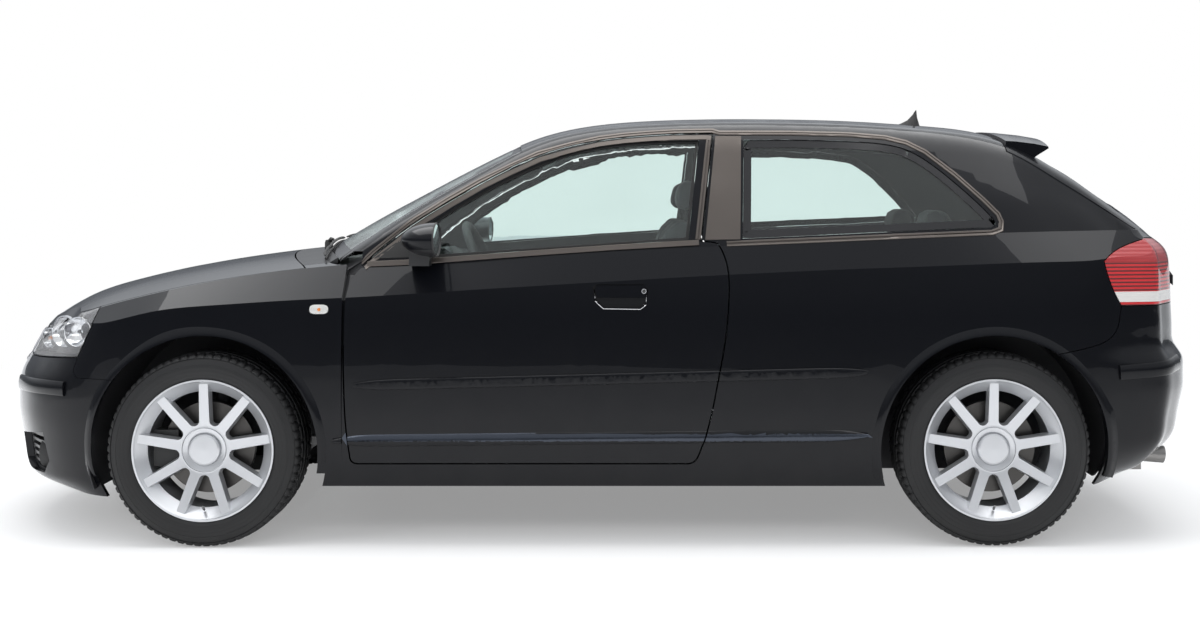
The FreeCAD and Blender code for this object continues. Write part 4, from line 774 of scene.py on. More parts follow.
# Share of the mirror's outline and x of each ring of points.
MIRROR_FRAME = [(0.985, -0.4795), (0.985, -0.4745), (0.955, -0.4730), (0.92, -0.4745), (0.905, -0.4785)]
MIRROR_PLATE = [(0.91, -0.4782), (0.90, -0.4765), (0.60, -0.4760), (0.25, -0.4758)]
MIRROR_POINTS = 48
FLAP_PLACE = (1.13, 0.80)
SEAM = [(-0.0015, 0.0001), (-0.0008, 0.0004), (0.0008, 0.0004), (0.0015, 0.0001)]


class CAR_OT_side_details(bpy.types.Operator):
    """Adds the handles and locks, repeaters, mirror glass, the filler flap line and the arch skirts"""
    bl_idname = "car.side_details"
    bl_label = "Side Details"

    def execute(self, context):
        chrome = metal_finish("bright_metal", (0.7, 0.7, 0.72), 0.14, grain=400.0, strength=0.01)
        self.handles(chrome)
        self.repeaters()
        self.mirrors()
        self.filler()
        self.arch_skirts()
        return {"FINISHED"}

    def arch_skirts(self):
        """Lower ends of the front arch liners, inside the bumper's corners."""
        low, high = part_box("wheel_front_left")
        centre = (low + high) / 2
        vertices = []
        for k in range(SKIRT_STEPS + 1):
            angle = math.radians(180 + SKIRT_SWEEP * k / SKIRT_STEPS)
            vertices += [(centre.x + radius * math.cos(angle), y, centre.z + radius * math.sin(angle))
                         for radius, y in SKIRT_SECTION]
        faces = net(SKIRT_STEPS + 1, len(SKIRT_SECTION), width_closed=True, capped=True)
        on_both_sides("front_arch_skirt", (vertices, faces), stock("sealed_underbody"))

    def handles(self, chrome):
        """The door's flap handle with its bright rim, and the lock beside it."""
        door = Skin(LEFT, "door_left")
        base = door.at(*HANDLE_PLACE).y
        flap = bmesh.new()
        extruded(flap, [(x, base + 0.0008 + (z - 0.80) * 0.10, z) for x, z in HANDLE_FLAP], 0.009)
        bmesh.ops.bevel(flap, geom=flap.edges[:], offset=0.0025, segments=2, affect="EDGES")
        on_both_sides("door_handle_flap", taken(flap), stock("body_paint"), DOORS)
        line = [(p.x, door.at(p.x + (0.006 if p.x < 0.06 else 0), p.y - 0.010).y - 0.0002, p.y)
                for p in evenly(HANDLE_RIM, FINE_STEP)]
        on_both_sides("door_handle_rim", rod(line, 0.0016, 8), chrome, DOORS)
        centre = (LOCK_X, base - 0.001, LOCK_Z)
        on_both_sides("door_lock", lathe(LOCK, 20, centre), stock("black_plastic"), DOORS)
        on_both_sides("door_lock_ring", lathe(LOCK_RING, 20, centre), chrome, DOORS)

    def repeaters(self):
        """The small lamp on each front wing."""
        wing = Skin(LEFT, "front_wing_left")
        edge = rounded_loop(REPEATER, (0.030, 0.0145), (0.55, 0.8), 28)
        base = patch(wing, edge, rise=0.0035, thickness=0.005, step=FINE_STEP, edge=0.0015)
        clear = glass_finish("repeater_lens", (0.93, 0.93, 0.92), 0.08)
        shine = plastic_finish("repeater_reflector", (0.62, 0.62, 0.62), 0.25, grain=700.0, strength=0.3)
        wider = [(x + (x - REPEATER[0]) * 0.06, REPEATER[1] + (z - REPEATER[1]) * 1.06) for x, z in edge]
        lens = patch(wing, wider, rise=0.0065, thickness=0.0022, step=FINE_STEP, edge=0.002)
        on_both_sides("side_repeater_lens", lens, clear)
        on_both_sides("side_repeater", base, shine)
        bulb = lathe(REPEATER_BULB, 16, wing.at(-0.862, 0.774, 0.0040))
        on_both_sides("side_repeater_bulb", bulb, amber_finish())

    def mirrors(self):
        """The oval mirror glass in its frame, on the back of each mirror."""
        glass = metal_finish("mirror_glass", (0.80, 0.84, 0.86), 0.02, grain=50.0, strength=0.0)
        turns = [2 * math.pi * k / MIRROR_POINTS for k in range(MIRROR_POINTS)]

        def rings(rows):
            points = [(x, MIRROR_CENTRE[0] + MIRROR_HALVES[0] * share * math.cos(turn),
                       MIRROR_CENTRE[1] + MIRROR_HALVES[1] * share * math.sin(turn))
                      for share, x in rows for turn in turns]
            return points, net(len(rows), MIRROR_POINTS, width_closed=True)
        on_both_sides("mirror_frame", rings(MIRROR_FRAME), stock("black_plastic"), DOORS)
        points, faces = rings(MIRROR_PLATE)
        last = len(points)
        first = last - MIRROR_POINTS
        faces += [(first + k, first + (k + 1) % MIRROR_POINTS, last) for k in range(MIRROR_POINTS)]
        points.append((MIRROR_PLATE[-1][1], *MIRROR_CENTRE))
        on_both_sides("mirror_glass_plate", (points, faces), glass, DOORS)

    def filler(self):
        """The fine seam round the filler flap, on the right side only."""
        seam = plastic_finish("panel_seam", (0.003, 0.003, 0.003), 0.8, strength=0.1)
        edge = rounded_loop(FLAP_PLACE, (0.085, 0.085), (0.6, 0.6), 40)
        make_piece("filler_flap_seam", ribbon(Skin(RIGHT, "body_side_right"), edge, SEAM, True), seam, BODY)


# ---------------------------------------------------------------- tyres

BEAD = 0.2315
SEAT = 0.219
# Side of a tyre: how far out from the bead and how far in from the widest place.
SIDE_WALL = [(-0.001, 0.0125), (0.004, 0.009), (0.009, 0.0045), (0.014, 0.0020), (0.018, 0.0028),
             (0.022, 0.0012), (0.030, 0.0002), (0.033, 0.0008), (0.0345, 0.0002), (0.046, 0.0012),
             (0.0475, 0.0022), (0.049, 0.0014), (0.060, 0.0058), (0.068, 0.0105), (0.0695, 0.0085)]
# From the tread inwards, and how far in from the widest place.
SHOULDER = [(0.0105, 0.0105), (0.0050, 0.0160), (0.0020, 0.0260), (0.0012, 0.034)]
GROOVES = (0.062, 0.022)
TREAD_DEPTH = 0.0065
# Which points of the section a cut goes through: 1 the shoulder's cuts, 2 the middle blocks' cuts.
SHOULDER_CUT, BLOCK_CUT = 1, 2
TREAD_BLOCKS = 70
COLUMNS = 4 * TREAD_BLOCKS


class CAR_OT_wheels(bpy.types.Operator):
    """Fits moulded tyres with tread, and the valves"""
    bl_idname = "car.wheels"
    bl_label = "Wheels And Tyres"

    def execute(self, context):
        rubber = self.rubber()
        steel = metal_finish("valve_metal", (0.25, 0.25, 0.25), 0.4)
        for place in WHEELS:
            low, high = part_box("tyre_" + place)
            outward = -1 if "left" in place else 1
            centre = (low + high) / 2
            body = "wheel_" + place[0] + place.split("_")[1][0]
            shape = self.tyre(centre, (high.z - low.z) / 2, (high.y - low.y) / 2)
            tyre = make_piece("moulded_tyre_" + place, shape, rubber, body)
            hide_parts("tyre_" + place)
            face_y = centre.y + outward * 0.104
            stem = rod([(centre.x, face_y - outward * 0.022, centre.z - 0.196),
                        (centre.x, face_y - outward * 0.004, centre.z - 0.183)], 0.0038, 10)
            make_piece("valve_" + place, stem, steel, body)
        return {"FINISHED"}

    def rubber(self):
        """Fine grained rubber with dust on it."""
        finish = Finish("tyre_rubber")
        skin = finish.group("fine_grain", Scale=260.0, Strength=0.25)
        film = finish.group("road_film", Top=0.6, Amount=0.5)
        finish.tint((0.006, 0.006, 0.0065), (0.017, 0.0165, 0.016), film["Mask"])
        finish.vary(skin["Cloud"], 0.52, 0.72)
        finish.set(Normal=skin["Normal"])
        return finish.material

    def tyre(self, centre, radius, half):
        """Turned section with side wall rings and grooves; the cuts between the tread blocks are set in."""
        section = [(SEAT, half - 0.016)] + [(BEAD + out, half - inward) for out, inward in SIDE_WALL]
        marks = [0] * len(section) + [SHOULDER_CUT] * (len(SHOULDER) + 1)
        section += [(radius - inward, half - across) for inward, across in SHOULDER]
        for groove in GROOVES:
            section += [(radius - 0.0006, groove + 0.0052), (radius - TREAD_DEPTH, groove + 0.0034),
                        (radius - TREAD_DEPTH, groove - 0.0034), (radius - 0.0003, groove - 0.0052)]
        marks += [0, 0, BLOCK_CUT, BLOCK_CUT, 0, 0, 0]
        line = section + [(r, -w) for r, w in reversed(section)]
        marks += list(reversed(marks))
        vertices = []
        for i in range(COLUMNS):
            step = i % 4
            for mark, (r, w) in zip(marks, line):
                phase = step if w > 0 else (step + 2) % 4
                cut = 0.0
                if mark == SHOULDER_CUT and phase == 3:
                    cut = 0.0055
                if mark == BLOCK_CUT and phase == 1 and (i // 4) % 2 == 0:
                    cut = 0.004
                angle = 2 * math.pi * (i + (0.25 if mark == SHOULDER_CUT else 0)) / COLUMNS
                vertices.append((centre.x + (r - cut) * math.cos(angle), centre.y + w,
                                 centre.z + (r - cut) * math.sin(angle)))
        return vertices, net(COLUMNS, len(line), rows_closed=True)


# ---------------------------------------------------------------- lamps

# Lamp, its x and z from the side, and the radius of its bowl.
HEADLAMP_BOWLS = (("main", -1.700, 0.690, 0.047), ("dip", -1.800, 0.680, 0.052),
                  ("turn", -1.885, 0.650, 0.032))
BOWL_DEPTH = 0.030
FRONT_CORNER = -1.75
BULB = [(0.0005, -0.004), (0.005, -0.002), (0.007, 0.004), (0.007, 0.022)]
FOG_Y, FOG_Z = -0.640, 0.275
FOG_RING = [(0.034, 0.03), (0.040, 0.002), (0.044, -0.004), (0.048, -0.002), (0.050, 0.012), (0.050, 0.03)]
FOG_BOWL = [(0.003, 0.030), (0.018, 0.026), (0.032, 0.012), (0.040, 0.003)]
FOG_LENS = [(0.0005, -0.008), (0.02, -0.0065), (0.034, -0.002), (0.041, 0.003), (0.039, 0.005),
            (0.02, -0.0035), (0.0005, -0.005)]
# Tail lamps: their ribs, the red of their painted shade in the troughs and painted highlight on the crests,
# and the heights of the pale band and of the smooth cap above the ribs.
RIB_PITCH = 0.0125
CAP_BOTTOM = 0.925
BAND_BOTTOM, BAND_TOP = 0.795, 0.829
PAINTED_RIB_SHADE = ((0.25, (0.09, 0.001, 0.002)), (0.6, (0.50, 0.006, 0.010)))
CAP_COLOUR = (0.30, 0.003, 0.006)
BAND_COLOUR = (0.62, 0.60, 0.58)


class CAR_OT_lamps(bpy.types.Operator):
    """Builds the headlamps, fog lamps and tail lamps with their lenses, bowls and bands"""
    bl_idname = "car.lamps"
    bl_label = "Lamps"

    def execute(self, context):
        self.headlamps()
        self.fog_lamps()
        self.tail_lamps()
        return {"FINISHED"}

    def skin_of(self, node, keep, inset, thickness):
        """The faces of a node that pass a test, moved in along their normals and given a thickness."""
        source = bmesh.new()
        source.from_mesh(NODES[node].data)
        bmesh.ops.remove_doubles(source, verts=source.verts[:], dist=0.00002)
        dropped = [f for f in source.faces if not keep(f.calc_center_median(), f.normal)]
        bmesh.ops.delete(source, geom=dropped, context="FACES")
        source.normal_update()
        for v in source.verts:
            v.co -= v.normal * inset
        if thickness:
            bmesh.ops.solidify(source, geom=source.faces[:], thickness=thickness)
        return taken(source)

    def headlamps(self):
        """Clear lens, dark housing, and three bowls with their bulbs or projector."""
        lens = glass_finish("headlamp_lens", (0.97, 0.98, 0.99))
        shell = metal_finish("lamp_housing", (0.10, 0.10, 0.11), 0.30, metallic=0.7, grain=300.0,
                             strength=0.02)
        bowl = metal_finish("lamp_reflector", (0.82, 0.83, 0.85), 0.07, grain=60.0, strength=0.02)
        ball = glass_finish("projector_glass", (0.9, 0.94, 1.0))
        skin = Skin(LEFT, "headlamps")

        def outer(centre, normal):
            return normal.x < -0.22 or abs(normal.y) > 0.5 and normal.y * centre.y > 0 and normal.x < 0.35
        front = make_piece("headlamp_lens", self.skin_of("headlamps", outer, 0.0005, 0.003), lens, BODY)
        make_piece("headlamp_housing", self.skin_of("headlamps", lambda c, n: not outer(c, n), 0.001, 0.0),
                   shell, BODY)
        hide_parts("headlamps")
        for name, x, z, size in HEADLAMP_BOWLS:
            inward = Vector((0.42 if x < FRONT_CORNER else 0.15, 0.9, 0)).normalized()
            base = skin.at(x, z) + inward * BOWL_DEPTH
            turn = Vector((0, -1, 0)).rotation_difference(-inward).to_matrix()

            def turned(profile, steps):
                vertices, faces = lathe(profile, steps, (0, 0, 0))
                return [tuple(turn @ Vector(v) + base) for v in vertices], faces
            rings = [(0.004, 0.024), (size * 0.35, 0.021), (size * 0.7, 0.012), (size * 0.93, -0.002),
                     (size, -0.007), (size + 0.003, -0.006), (size + 0.004, 0.004)]
            on_both_sides("headlamp_" + name + "_bowl", turned(rings, 36), bowl)
            if name == "dip":
                globe = [(0.0005, -0.016), (size * 0.25, -0.0145), (size * 0.45, -0.009), (size * 0.55, 0.0),
                         (size * 0.56, 0.006)]
                on_both_sides("headlamp_projector", turned(globe, 32), ball)
            else:
                on_both_sides("headlamp_" + name + "_bulb", turned(BULB, 18),
                              ball if name == "main" else amber_finish())

    def fog_lamps(self):
        """Round fog lamps behind the lower grilles."""
        clear = glass_finish("fog_lens", (0.95, 0.96, 0.97), 0.03)
        centre = (Skin(AHEAD, "bumper_grilles").at(FOG_Y, FOG_Z).x + 0.010, FOG_Y, FOG_Z)
        on_both_sides("fog_lamp_ring", lathe(FOG_RING, 40, centre, "x"), stock("black_plastic"))
        on_both_sides("fog_lamp_bowl", lathe(FOG_BOWL, 36, centre, "x"), stock("bright_metal"))
        on_both_sides("fog_lamp_lens", lathe(FOG_LENS, 36, centre, "x"), clear)

    def tail_lamps(self):
        """Red ribbed glass with a smooth cap and a pale band; painted shade darkens the red in the ribs'
        troughs and a painted highlight lightens it on their crests.
        """
        finish = Finish("tail_lamp_glass")
        finish.set(Coat_Weight=1.0, Coat_Roughness=0.02, Specular_IOR_Level=0.5)
        height = finish.height(finish.place())
        wave = finish.maths("SINE", finish.maths("MULTIPLY", height, 2 * math.pi / RIB_PITCH))
        # Painted shade and highlight: the red follows the ribs' wave, dark in the troughs and lighter on the
        # crests.
        spread = finish.node("ShaderNodeMapRange", {"From Min": -1.0, "Value": wave})
        tone = finish.node("ShaderNodeValToRGB", {"Fac": spread.outputs["Result"]})
        for stop, (position, colour) in zip(tone.color_ramp.elements, PAINTED_RIB_SHADE):
            stop.position = position
            stop.color = (*colour, 1)
        cap = finish.maths("GREATER_THAN", height, CAP_BOTTOM)
        smooth = finish.blend(tone.outputs["Color"], CAP_COLOUR, cap)
        band = finish.maths("MULTIPLY", finish.maths("GREATER_THAN", height, BAND_BOTTOM),
                            finish.maths("LESS_THAN", height, BAND_TOP))
        bump = finish.node("ShaderNodeBump", {"Strength": 0.35, "Distance": 0.002, "Height": wave})
        finish.set(Base_Color=finish.blend(smooth, BAND_COLOUR, band), Normal=bump.outputs["Normal"])
        wear(NODES["tail_lamps"], finish.material)


# ---------------------------------------------------------------- front and rear

# The grille's opening in y and z, and the section of the bright frame round it.
GRILLE_OPENING = [(-0.336, 0.667), (-0.379, 0.590), (-0.354, 0.555), (0.354, 0.555), (0.379, 0.590),
                  (0.336, 0.667)]
FRAME_SECTION = [(-0.006, -0.004), (-0.006, 0.001), (-0.003, 0.0035), (0.003, 0.0035), (0.006, 0.001),
                 (0.006, -0.004)]
FRAME_HALF = 0.006
BUMPER_STRIPS = {
    "front": [(-1.965, 0.500), (-1.90, 0.506), (-1.80, 0.509), (-1.712, 0.509)],
    "rear": [(1.752, 0.566), (1.85, 0.572), (1.93, 0.580), (1.985, 0.588)]}
STRIP_SECTION = [(-0.024, -0.002), (-0.023, 0.006), (-0.018, 0.009), (0.0, 0.010), (0.018, 0.008),
                 (0.023, 0.005), (0.024, -0.002)]
# Wipers: pivot, and the ends of the blade, in x and y from above.
WIPERS = (("left", (-0.935, -0.30), (-0.890, -0.62), (-0.930, -0.04)),
          ("right", (-0.935, 0.28), (-0.925, -0.02), (-0.872, 0.55)))
WIPER_HUB = [(0.0001, 0.012), (0.012, 0.010), (0.015, 0.0), (0.015, -0.03)]
REAR_WIPER_HUB = [(0.0001, 0.010), (0.018, 0.008), (0.022, -0.002), (0.022, -0.02)]
# The aerial's sections, as x, half width and height, and their outline as shares of those.
AERIAL = [(1.160, 0.002, 0.004), (1.180, 0.010, 0.012), (1.205, 0.016, 0.026), (1.225, 0.017, 0.048),
          (1.236, 0.015, 0.066), (1.240, 0.010, 0.068), (1.243, 0.012, 0.040), (1.252, 0.012, 0.010),
          (1.256, 0.004, 0.002)]
AERIAL_SECTION = ((-1, SUNK), (-0.8, 0.2), (-0.3, 0.75), (0, 1), (0.3, 0.75), (0.8, 0.2), (1, SUNK))


class CAR_OT_ends(bpy.types.Operator):
    """Adds the grille frame, bumper strips, wipers, the aerial, the tailgate grip and the high brake light"""
    bl_idname = "car.ends"
    bl_label = "Front And Rear Details"

    def execute(self, context):
        black = stock("black_plastic")
        self.grille_frame()
        for end, path in BUMPER_STRIPS.items():
            strip = ribbon(Skin(LEFT, end + "_bumper"), evenly(path), STRIP_SECTION)
            on_both_sides(end + "_bumper_strip", strip, stock("body_paint"))
        self.wipers(black)
        self.rear_wiper(black)
        self.aerial(black)
        self.tailgate_grip(black)
        return {"FINISHED"}

    def grille_frame(self):
        """The bright frame, which lies on the bumper round the grille's opening."""
        bumper = Skin(AHEAD, "front_bumper")
        line = moved_out(evenly(GRILLE_OPENING, closed=True), 0.002, True)
        out = moved_out(line, 0.010, True)
        vertices = []
        for point, base in zip(out, line):
            hit = bumper.at(point.x, point.y)
            towards = (Vector(base) - Vector(point)).normalized()
            for across, rise in FRAME_SECTION:
                place = Vector(point) + towards * (across + FRAME_HALF)
                vertices.append((hit.x - rise, place.x, place.y))
        faces = net(len(out), len(FRAME_SECTION), rows_closed=True)
        make_piece("grille_frame", (vertices, faces), stock("bright_metal"), BODY)

    def wipers(self, black):
        """The two wipers at rest below the windscreen."""
        screen = Skin(ABOVE, "windscreen", "scuttle", "bonnet")
        for name, pivot, start, end in WIPERS:
            blade = [Vector(start).lerp(Vector(end), k / 14) for k in range(15)]
            foot = [screen.at(p.x, p.y, 0.004) for p in blade]
            spine = [screen.at(p.x, p.y, 0.016) for p in blade]
            shape = joined(rod(foot, 0.0035, 8), rod(spine, [0.003] + [0.005] * 13 + [0.003], 8))
            make_piece("wiper_blade_" + name, shape, black, BODY)
            root = screen.at(*pivot, 0.018)
            tip = screen.at(blade[7].x, blade[7].y, 0.024)
            arm = rod([root, root.lerp(tip, 0.5) + Vector((0, 0, 0.008)), tip], [0.009, 0.007, 0.005])
            make_piece("wiper_arm_" + name, joined(arm, lathe(WIPER_HUB, 20, tuple(root), "z")), black, BODY)

    def rear_wiper(self, black):
        """The wiper on the tailgate's glass."""
        glass = Skin(BEHIND, "tailgate_glass", "tailgate")
        blade = [(-0.02 + 0.33 * k / 10, 1.118 + 0.012 * k / 10) for k in range(11)]
        foot = [glass.at(y, z, 0.005) for y, z in blade]
        spine = [glass.at(y, z, 0.017) for y, z in blade]
        make_piece("rear_wiper_blade", joined(rod(foot, 0.0035, 8), rod(spine, 0.0048, 8)), black, TAILGATE)
        root = glass.at(-0.02, 1.055, 0.016)
        tip = glass.at(0.14, 1.124, 0.025)
        arm = rod([root, root.lerp(tip, 0.5) + Vector((0.01, 0, 0)), tip], [0.011, 0.008, 0.005])
        hub = lathe(REAR_WIPER_HUB, 24, tuple(root), "x")
        make_piece("rear_wiper_arm", joined(arm, hub), black, TAILGATE)

    def aerial(self, black):
        """The short fin on the roof."""
        roof = Skin(ABOVE, "roof")
        vertices = []
        for x, half, tall in AERIAL:
            base = roof.at(x, 0.0).z
            vertices += [(x, half * share, base + (tall * up if up > 0 else up))
                         for share, up in AERIAL_SECTION]
        faces = net(len(AERIAL), len(AERIAL_SECTION), capped=True)
        make_piece("roof_aerial", (vertices, faces), black, BODY)

    def tailgate_grip(self, black):
        """The grip strip in the tailgate's recess and the high brake light."""
        tail = Skin(BEHIND, "tailgate")
        grip = evenly([(-0.27, 0.868), (0.27, 0.868)], WIDE_STEP)
        make_piece("tailgate_grip", ribbon(tail, grip, flat_profile(0.046, 0.010, 0.006)), black, TAILGATE)
        red = plastic_finish("high_brake_lamp", (0.35, 0.004, 0.006), 0.15, grain=300.0, strength=0.1)
        lamp = evenly([(-0.17, 1.3440), (0.17, 1.3440)], WIDE_STEP)
        make_piece("high_brake_light", ribbon(tail, lamp, flat_profile(0.012, 0.0015, 0.0008)), red, TAILGATE)


# ---------------------------------------------------------------- cabin and engine bay

DOOR_WALL = 0.775
CARD_WALL = 0.797
PULL_WALL = 0.790
SPEAKER_RINGS = (0.02, 0.035, 0.05, 0.065, 0.08)
VENT_Z = 0.845
VENT_RING = [(0.026, 0.004), (0.030, 0.010), (0.036, 0.010), (0.038, 0.0)]
KNOB = [(0.016, 0.008), (0.018, 0.022), (0.012, 0.024), (0.0005, 0.024)]
LEVER_KNOB = [(0.0005, 0.028), (0.014, 0.024), (0.020, 0.010), (0.018, -0.006), (0.010, -0.014)]
# Pulleys: x, z and radius.
PULLEYS = ((-1.28, 0.36, 0.075), (-1.42, 0.50, 0.045), (-1.14, 0.52, 0.050))
TOP_HOSE = [(-1.50, -0.10, 0.64), (-1.60, -0.10, 0.62), (-1.66, -0.12, 0.58), (-1.70, -0.12, 0.55)]
LOW_HOSE = [(-1.50, 0.10, 0.40), (-1.60, 0.14, 0.38), (-1.70, 0.16, 0.38)]


class CAR_OT_cabin(bpy.types.Operator):
    """Fits the dashboard's panel and vents, door cards and rests, the levers and the engine's covers"""
    bl_idname = "car.cabin"
    bl_label = "Cabin And Engine Bay"

    def execute(self, context):
        soft = plastic_finish("soft_trim", (0.018, 0.018, 0.020), 0.75, grain=700.0, strength=0.4)
        chrome = stock("bright_metal")
        black = stock("black_plastic")
        for side, name in ((-1, "left"), (1, "right")):
            self.door(name, side, soft, chrome, black)
        self.dash(black, chrome)
        self.levers(black, soft)
        self.engine(black)
        return {"FINISHED"}

    def door(self, name, side, soft, chrome, black):
        """Arm-rest, card, pull and speaker on the inside of one door."""
        body = name + "_door"
        arm = round_box((-0.42, side * DOOR_WALL - 0.028, 0.655),
                        (0.16, side * DOOR_WALL + 0.028, 0.705), 0.014)
        make_piece("door_armrest_" + name, arm, soft, body)
        card = round_box((-0.60, side * CARD_WALL - 0.006, 0.36),
                         (0.30, side * CARD_WALL + 0.006, 0.80), 0.005)
        make_piece("door_card_" + name, card, stock("inner_trim"), body)
        pull = rod([(-0.33, side * PULL_WALL, 0.800), (-0.32, side * 0.772, 0.806),
                    (-0.24, side * 0.772, 0.806), (-0.23, side * PULL_WALL, 0.800)], 0.005)
        make_piece("door_pull_" + name, pull, chrome, body)
        rings = [lathe([(r, 0.0), (r, -0.004 * side), (r + 0.004, -0.004 * side), (r + 0.004, 0.0)], 32,
                       (-0.46, side * PULL_WALL, 0.46)) for r in SPEAKER_RINGS]
        make_piece("door_speaker_" + name, joined(*rings), black, body)

    def dash(self, black, chrome):
        """Round vents with slats, and the centre panel with its knobs."""
        face = Skin(BEHIND, "dashboard")
        vents = []
        for y in (-0.62, -0.11, 0.11, 0.62):
            x = face.at(y, VENT_Z).x
            vents.append(lathe(VENT_RING, 28, (x, y, VENT_Z), "x"))
            vents += [round_box((x, y - 0.024, 0.843 + k), (x + 0.007, y + 0.024, 0.846 + k), 0.001)
                      for k in (-0.014, 0.0, 0.014)]
        make_piece("dashboard_vents", joined(*vents), chrome, BODY)
        x = face.at(0.0, 0.74).x
        panel = [round_box((x - 0.01, -0.095, 0.64), (x + 0.008, 0.095, 0.80), 0.004)]
        panel += [lathe(KNOB, 24, (x, y, 0.675), "x") for y in (-0.055, 0.0, 0.055)]
        make_piece("centre_panel", joined(*panel), black, BODY)

    def levers(self, black, soft):
        """Gear lever, hand brake and the mirror inside the windscreen."""
        lever = joined(rod([(-0.30, 0.0, 0.46), (-0.29, 0.0, 0.56)], [0.012, 0.009], 12),
                       lathe(LEVER_KNOB, 24, (-0.288, 0.0, 0.575), "z"))
        make_piece("gear_lever", lever, soft, BODY)
        brake = rod([(-0.16, 0.0, 0.475), (-0.06, 0.0, 0.50), (0.02, 0.0, 0.525)], [0.016, 0.014, 0.012], 12)
        make_piece("hand_brake", brake, soft, BODY)
        mirror = joined(round_box((-0.305, -0.115, 1.225), (-0.285, 0.115, 1.285), 0.009),
                        rod([(-0.300, 0.0, 1.25), (-0.322, 0.0, 1.285), (-0.330, 0.0, 1.296)], 0.006))
        make_piece("inside_mirror", mirror, black, BODY)

    def engine(self, black):
        """Engine cover with ribs, pulleys, hoses and the radiator's fins."""
        casting = stock("chassis_casting")
        low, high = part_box("engine_block")
        cover = [round_box((low.x + 0.05, low.y + 0.06, high.z - 0.004),
                           (high.x - 0.06, high.y - 0.08, high.z + 0.030), 0.012)]
        for k in range(6):
            y = low.y + 0.12 + k * 0.075
            cover.append(round_box((low.x + 0.08, y, high.z + 0.028),
                                   (high.x - 0.09, y + 0.022, high.z + 0.036), 0.003))
        make_piece("engine_cover", joined(*cover), black, BODY)
        pulleys = [lathe([(0.01, 0.022), (r - 0.006, 0.022), (r, 0.020), (r - 0.004, 0.012), (r, 0.004),
                          (r - 0.01, 0.0)], 32, (x, high.y, z)) for x, z, r in PULLEYS]
        make_piece("engine_pulleys", joined(*pulleys), casting, BODY)
        make_piece("coolant_pipes", joined(rod(TOP_HOSE, 0.020, 14), rod(LOW_HOSE, 0.020, 14)), black, BODY)
        fins = [round_box((-1.738, -0.30, 0.350 + 0.012 * k), (-1.7315, 0.30, 0.3535 + 0.012 * k), 0.0006)
                for k in range(20)]
        make_piece("radiator_fins", joined(*fins), casting, BODY)


# ---------------------------------------------------------------- seats, outlines in x and z from the side

FRONT_CUSHION = [(-0.300, 0.362), (-0.320, 0.410), (-0.318, 0.455), (-0.290, 0.492), (-0.200, 0.494),
                 (-0.100, 0.488), (0.130, 0.470), (0.150, 0.362)]
FRONT_BACKREST = [(0.100, 0.440), (0.128, 0.500), (0.165, 0.620), (0.200, 0.760), (0.235, 0.880),
                  (0.262, 0.975), (0.285, 1.030), (0.335, 1.056), (0.372, 1.040), (0.380, 0.980),
                  (0.352, 0.870), (0.320, 0.740), (0.290, 0.580), (0.260, 0.440)]
FRONT_HEADREST = [(0.306, 1.088), (0.301, 1.150), (0.318, 1.205), (0.355, 1.218), (0.388, 1.204),
                  (0.398, 1.150), (0.388, 1.088)]
REAR_CUSHION = [(0.658, 0.345), (0.645, 0.420), (0.672, 0.488), (0.760, 0.500), (0.900, 0.496),
                (1.060, 0.480), (1.085, 0.345)]
REAR_BACKREST = [(1.075, 0.475), (1.105, 0.600), (1.145, 0.760), (1.185, 0.960), (1.215, 1.012),
                 (1.262, 1.018), (1.280, 0.960), (1.262, 0.760), (1.243, 0.475)]
REAR_HEADREST = [(1.182, 1.004), (1.178, 1.065), (1.202, 1.100), (1.250, 1.108), (1.292, 1.082),
                 (1.292, 1.004)]
# Name, outline, half width, height of the side bolsters and number of seams.
FRONT_PADS = (("front_cushion", FRONT_CUSHION, 0.245, 0.030, 4),
              ("front_backrest", FRONT_BACKREST, 0.235, 0.035, 5),
              ("front_headrest", FRONT_HEADREST, 0.130, 0.0, 0))
REAR_PADS = (("rear_cushion", REAR_CUSHION, 0.495, 0.0, 3), ("rear_backrest", REAR_BACKREST, 0.495, 0.0, 4))
FRONT_SEAT_Y = 0.355
REAR_HEADREST_Y = 0.35
FLOOR_TOP = 0.2142
SWELL_LIMIT = 0.016
SWELL_FRAMES = 20
BLANK_INSET = 0.009
BOLSTER_START = 0.62
BOLSTER_WIDTH = 0.25
SEAM_DEPTH, SEAM_WIDTH = 0.005, 0.009
PIPING_DEPTH, PIPING_WIDTH = 0.007, 0.010


